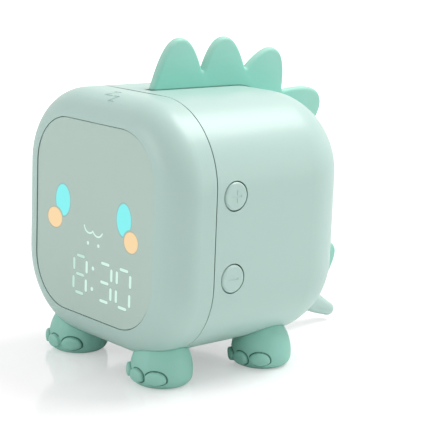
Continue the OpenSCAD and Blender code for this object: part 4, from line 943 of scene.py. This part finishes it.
def make_tail(material):
    sides, steps, cap = 72, 48, 10
    rings = [(TAIL_START + (TAIL_SWEEP - TAIL_START) * k / steps, 0.0, 1.0) for k in range(steps + 1)]
    rings += [(TAIL_SWEEP, TAIL_TIP * math.sin(t), math.cos(t))
              for t in (math.pi / 2 * k / cap for k in range(1, cap))]
    bm = bmesh.new()
    loop = bmesh.ops.create_circle(bm, cap_ends=False, segments=sides, radius=1.0)["verts"]
    for v, p in zip(loop, tail_ring(*rings[0], sides)):
        v.co = p
    start = list(loop)
    edges = [e for e in bm.edges]
    for ring in rings[1:]:
        made = bmesh.ops.extrude_edge_only(bm, edges=edges)["geom"]
        edges = [e for e in made if isinstance(e, bmesh.types.BMEdge) and e.is_boundary]
        fresh = {v for e in edges for v in e.verts}
        order = [next(o for e in v.link_edges for o in e.verts if o in fresh and o is not v) for v in start]
        for v, p in zip(order, tail_ring(*ring, sides)):
            v.co = p
        start = order
    bmesh.ops.holes_fill(bm, edges=[e for e in bm.edges if e.is_boundary], sides=0)
    cut = CREST_T / 2 + CREST_GAP
    for side in (-1, 1):
        bmesh.ops.bisect_plane(bm, geom=bm.verts[:] + bm.edges[:] + bm.faces[:], dist=1e-5,
                               plane_co=(side * cut, 0, 0), plane_no=(1, 0, 0))
    bm.normal_update()
    slot = []
    for f in bm.faces:
        c = f.calc_center_median()
        a = math.degrees(math.atan2(TAIL_Z - c.z, TAIL_Y - c.y))
        d = math.hypot(TAIL_Z - c.z, TAIL_Y - c.y)
        if abs(c.x) < cut and 0.0 < a < TAIL_SLOT_END and d < TAIL_R + 2.0:
            slot.append(f)
    made = bmesh.ops.extrude_face_region(bm, geom=slot)["geom"]
    for v in (g for g in made if isinstance(g, bmesh.types.BMVert)):
        out = Vector((0, v.co.y - TAIL_Y, v.co.z - TAIL_Z)).normalized()
        v.co += out * TAIL_SLOT_DEPTH
    bmesh.ops.delete(bm, geom=slot, context="FACES_ONLY")
    place_all(bm)
    finish_piece(bm, "curved_tail", material, "housing", ["tail_shell"], sharp=35)


# ------------------------------------------------------------------ floor and surroundings
FLOOR_SHADE, FLOOR_GLOW = (0.750, 0.720, 0.735), (0.37, 0.37, 0.37)
OPEN_FROM, OPEN_TO = 0.11, 0.27
WHITE = (1.0, 1.0, 1.0)
STUDIO_LEVEL = 0.58


def make_stage():
    """Pale glossy floor that is plain white away from the clock."""
    bm = bmesh.new()
    bmesh.ops.create_grid(bm, x_segments=1, y_segments=1, size=3.0)
    mesh = bpy.data.meshes.new("floor")
    bm.to_mesh(mesh)
    bm.free()
    floor = bpy.data.objects.new("floor", mesh)
    bpy.context.scene.collection.objects.link(floor)
    material, g, shader = new_material("pale_floor")
    place = g.place()
    away = g.vector("LENGTH", place)
    open_floor = g.ramp(away, OPEN_FROM, OPEN_TO)
    seen = g.node("ShaderNodeLightPath").outputs["Is Camera Ray"]
    plain = g.mix(g.noise(place, 40.0, 3.0), (0.910, 0.910, 0.910), (0.920, 0.920, 0.920))
    g.put(shader["Base Color"], g.mix(seen, plain, g.mix(open_floor, FLOOR_SHADE, BLACK)))
    g.put(shader["Emission Color"], g.mix(seen, BLACK, g.mix(open_floor, FLOOR_GLOW, WHITE)))
    shader["Emission Strength"].default_value = 1.0
    g.put(shader["Roughness"], g.ramp(g.noise(place, 20.0), 0.3, 0.7, 0.11, 0.115))
    mesh.materials.append(material)


def make_world():
    """White wherever it is seen, also in reflections, and less bright as light."""
    world = bpy.data.worlds.new("studio")
    bpy.context.scene.world = world
    world.use_nodes = True
    world.node_tree.nodes.clear()
    g = Graph(world.node_tree)
    path = g.node("ShaderNodeLightPath").outputs
    seen = g.largest([path["Is Camera Ray"], path["Is Glossy Ray"], path["Is Transmission Ray"]])
    sheet = g.node("ShaderNodeBackground")
    sheet.inputs["Color"].default_value = (1, 1, 1, 1)
    g.put(sheet.inputs["Strength"], g.plus(g.times(seen, 1 - STUDIO_LEVEL), STUDIO_LEVEL))
    out = g.node("ShaderNodeOutputWorld")
    g.tree.links.new(sheet.outputs[0], out.inputs[0])


# ------------------------------------------------------------------ put together
make_camera()
make_light()
make_world()
make_stage()
materials = make_materials()
for part in frame["record"]["subparts"]:
    NODES[part["node"]].material_slots[0].material = materials[part["material_slot"]]
for foot, shape in FEET.items():
    make_foot(foot, *shape, materials["foot_rubber"])
make_crest(materials["crest"])
make_tail_plate(materials["crest"])
make_tail(materials["shell"])

scene = bpy.context.scene
scene.view_settings.view_transform = "Standard"
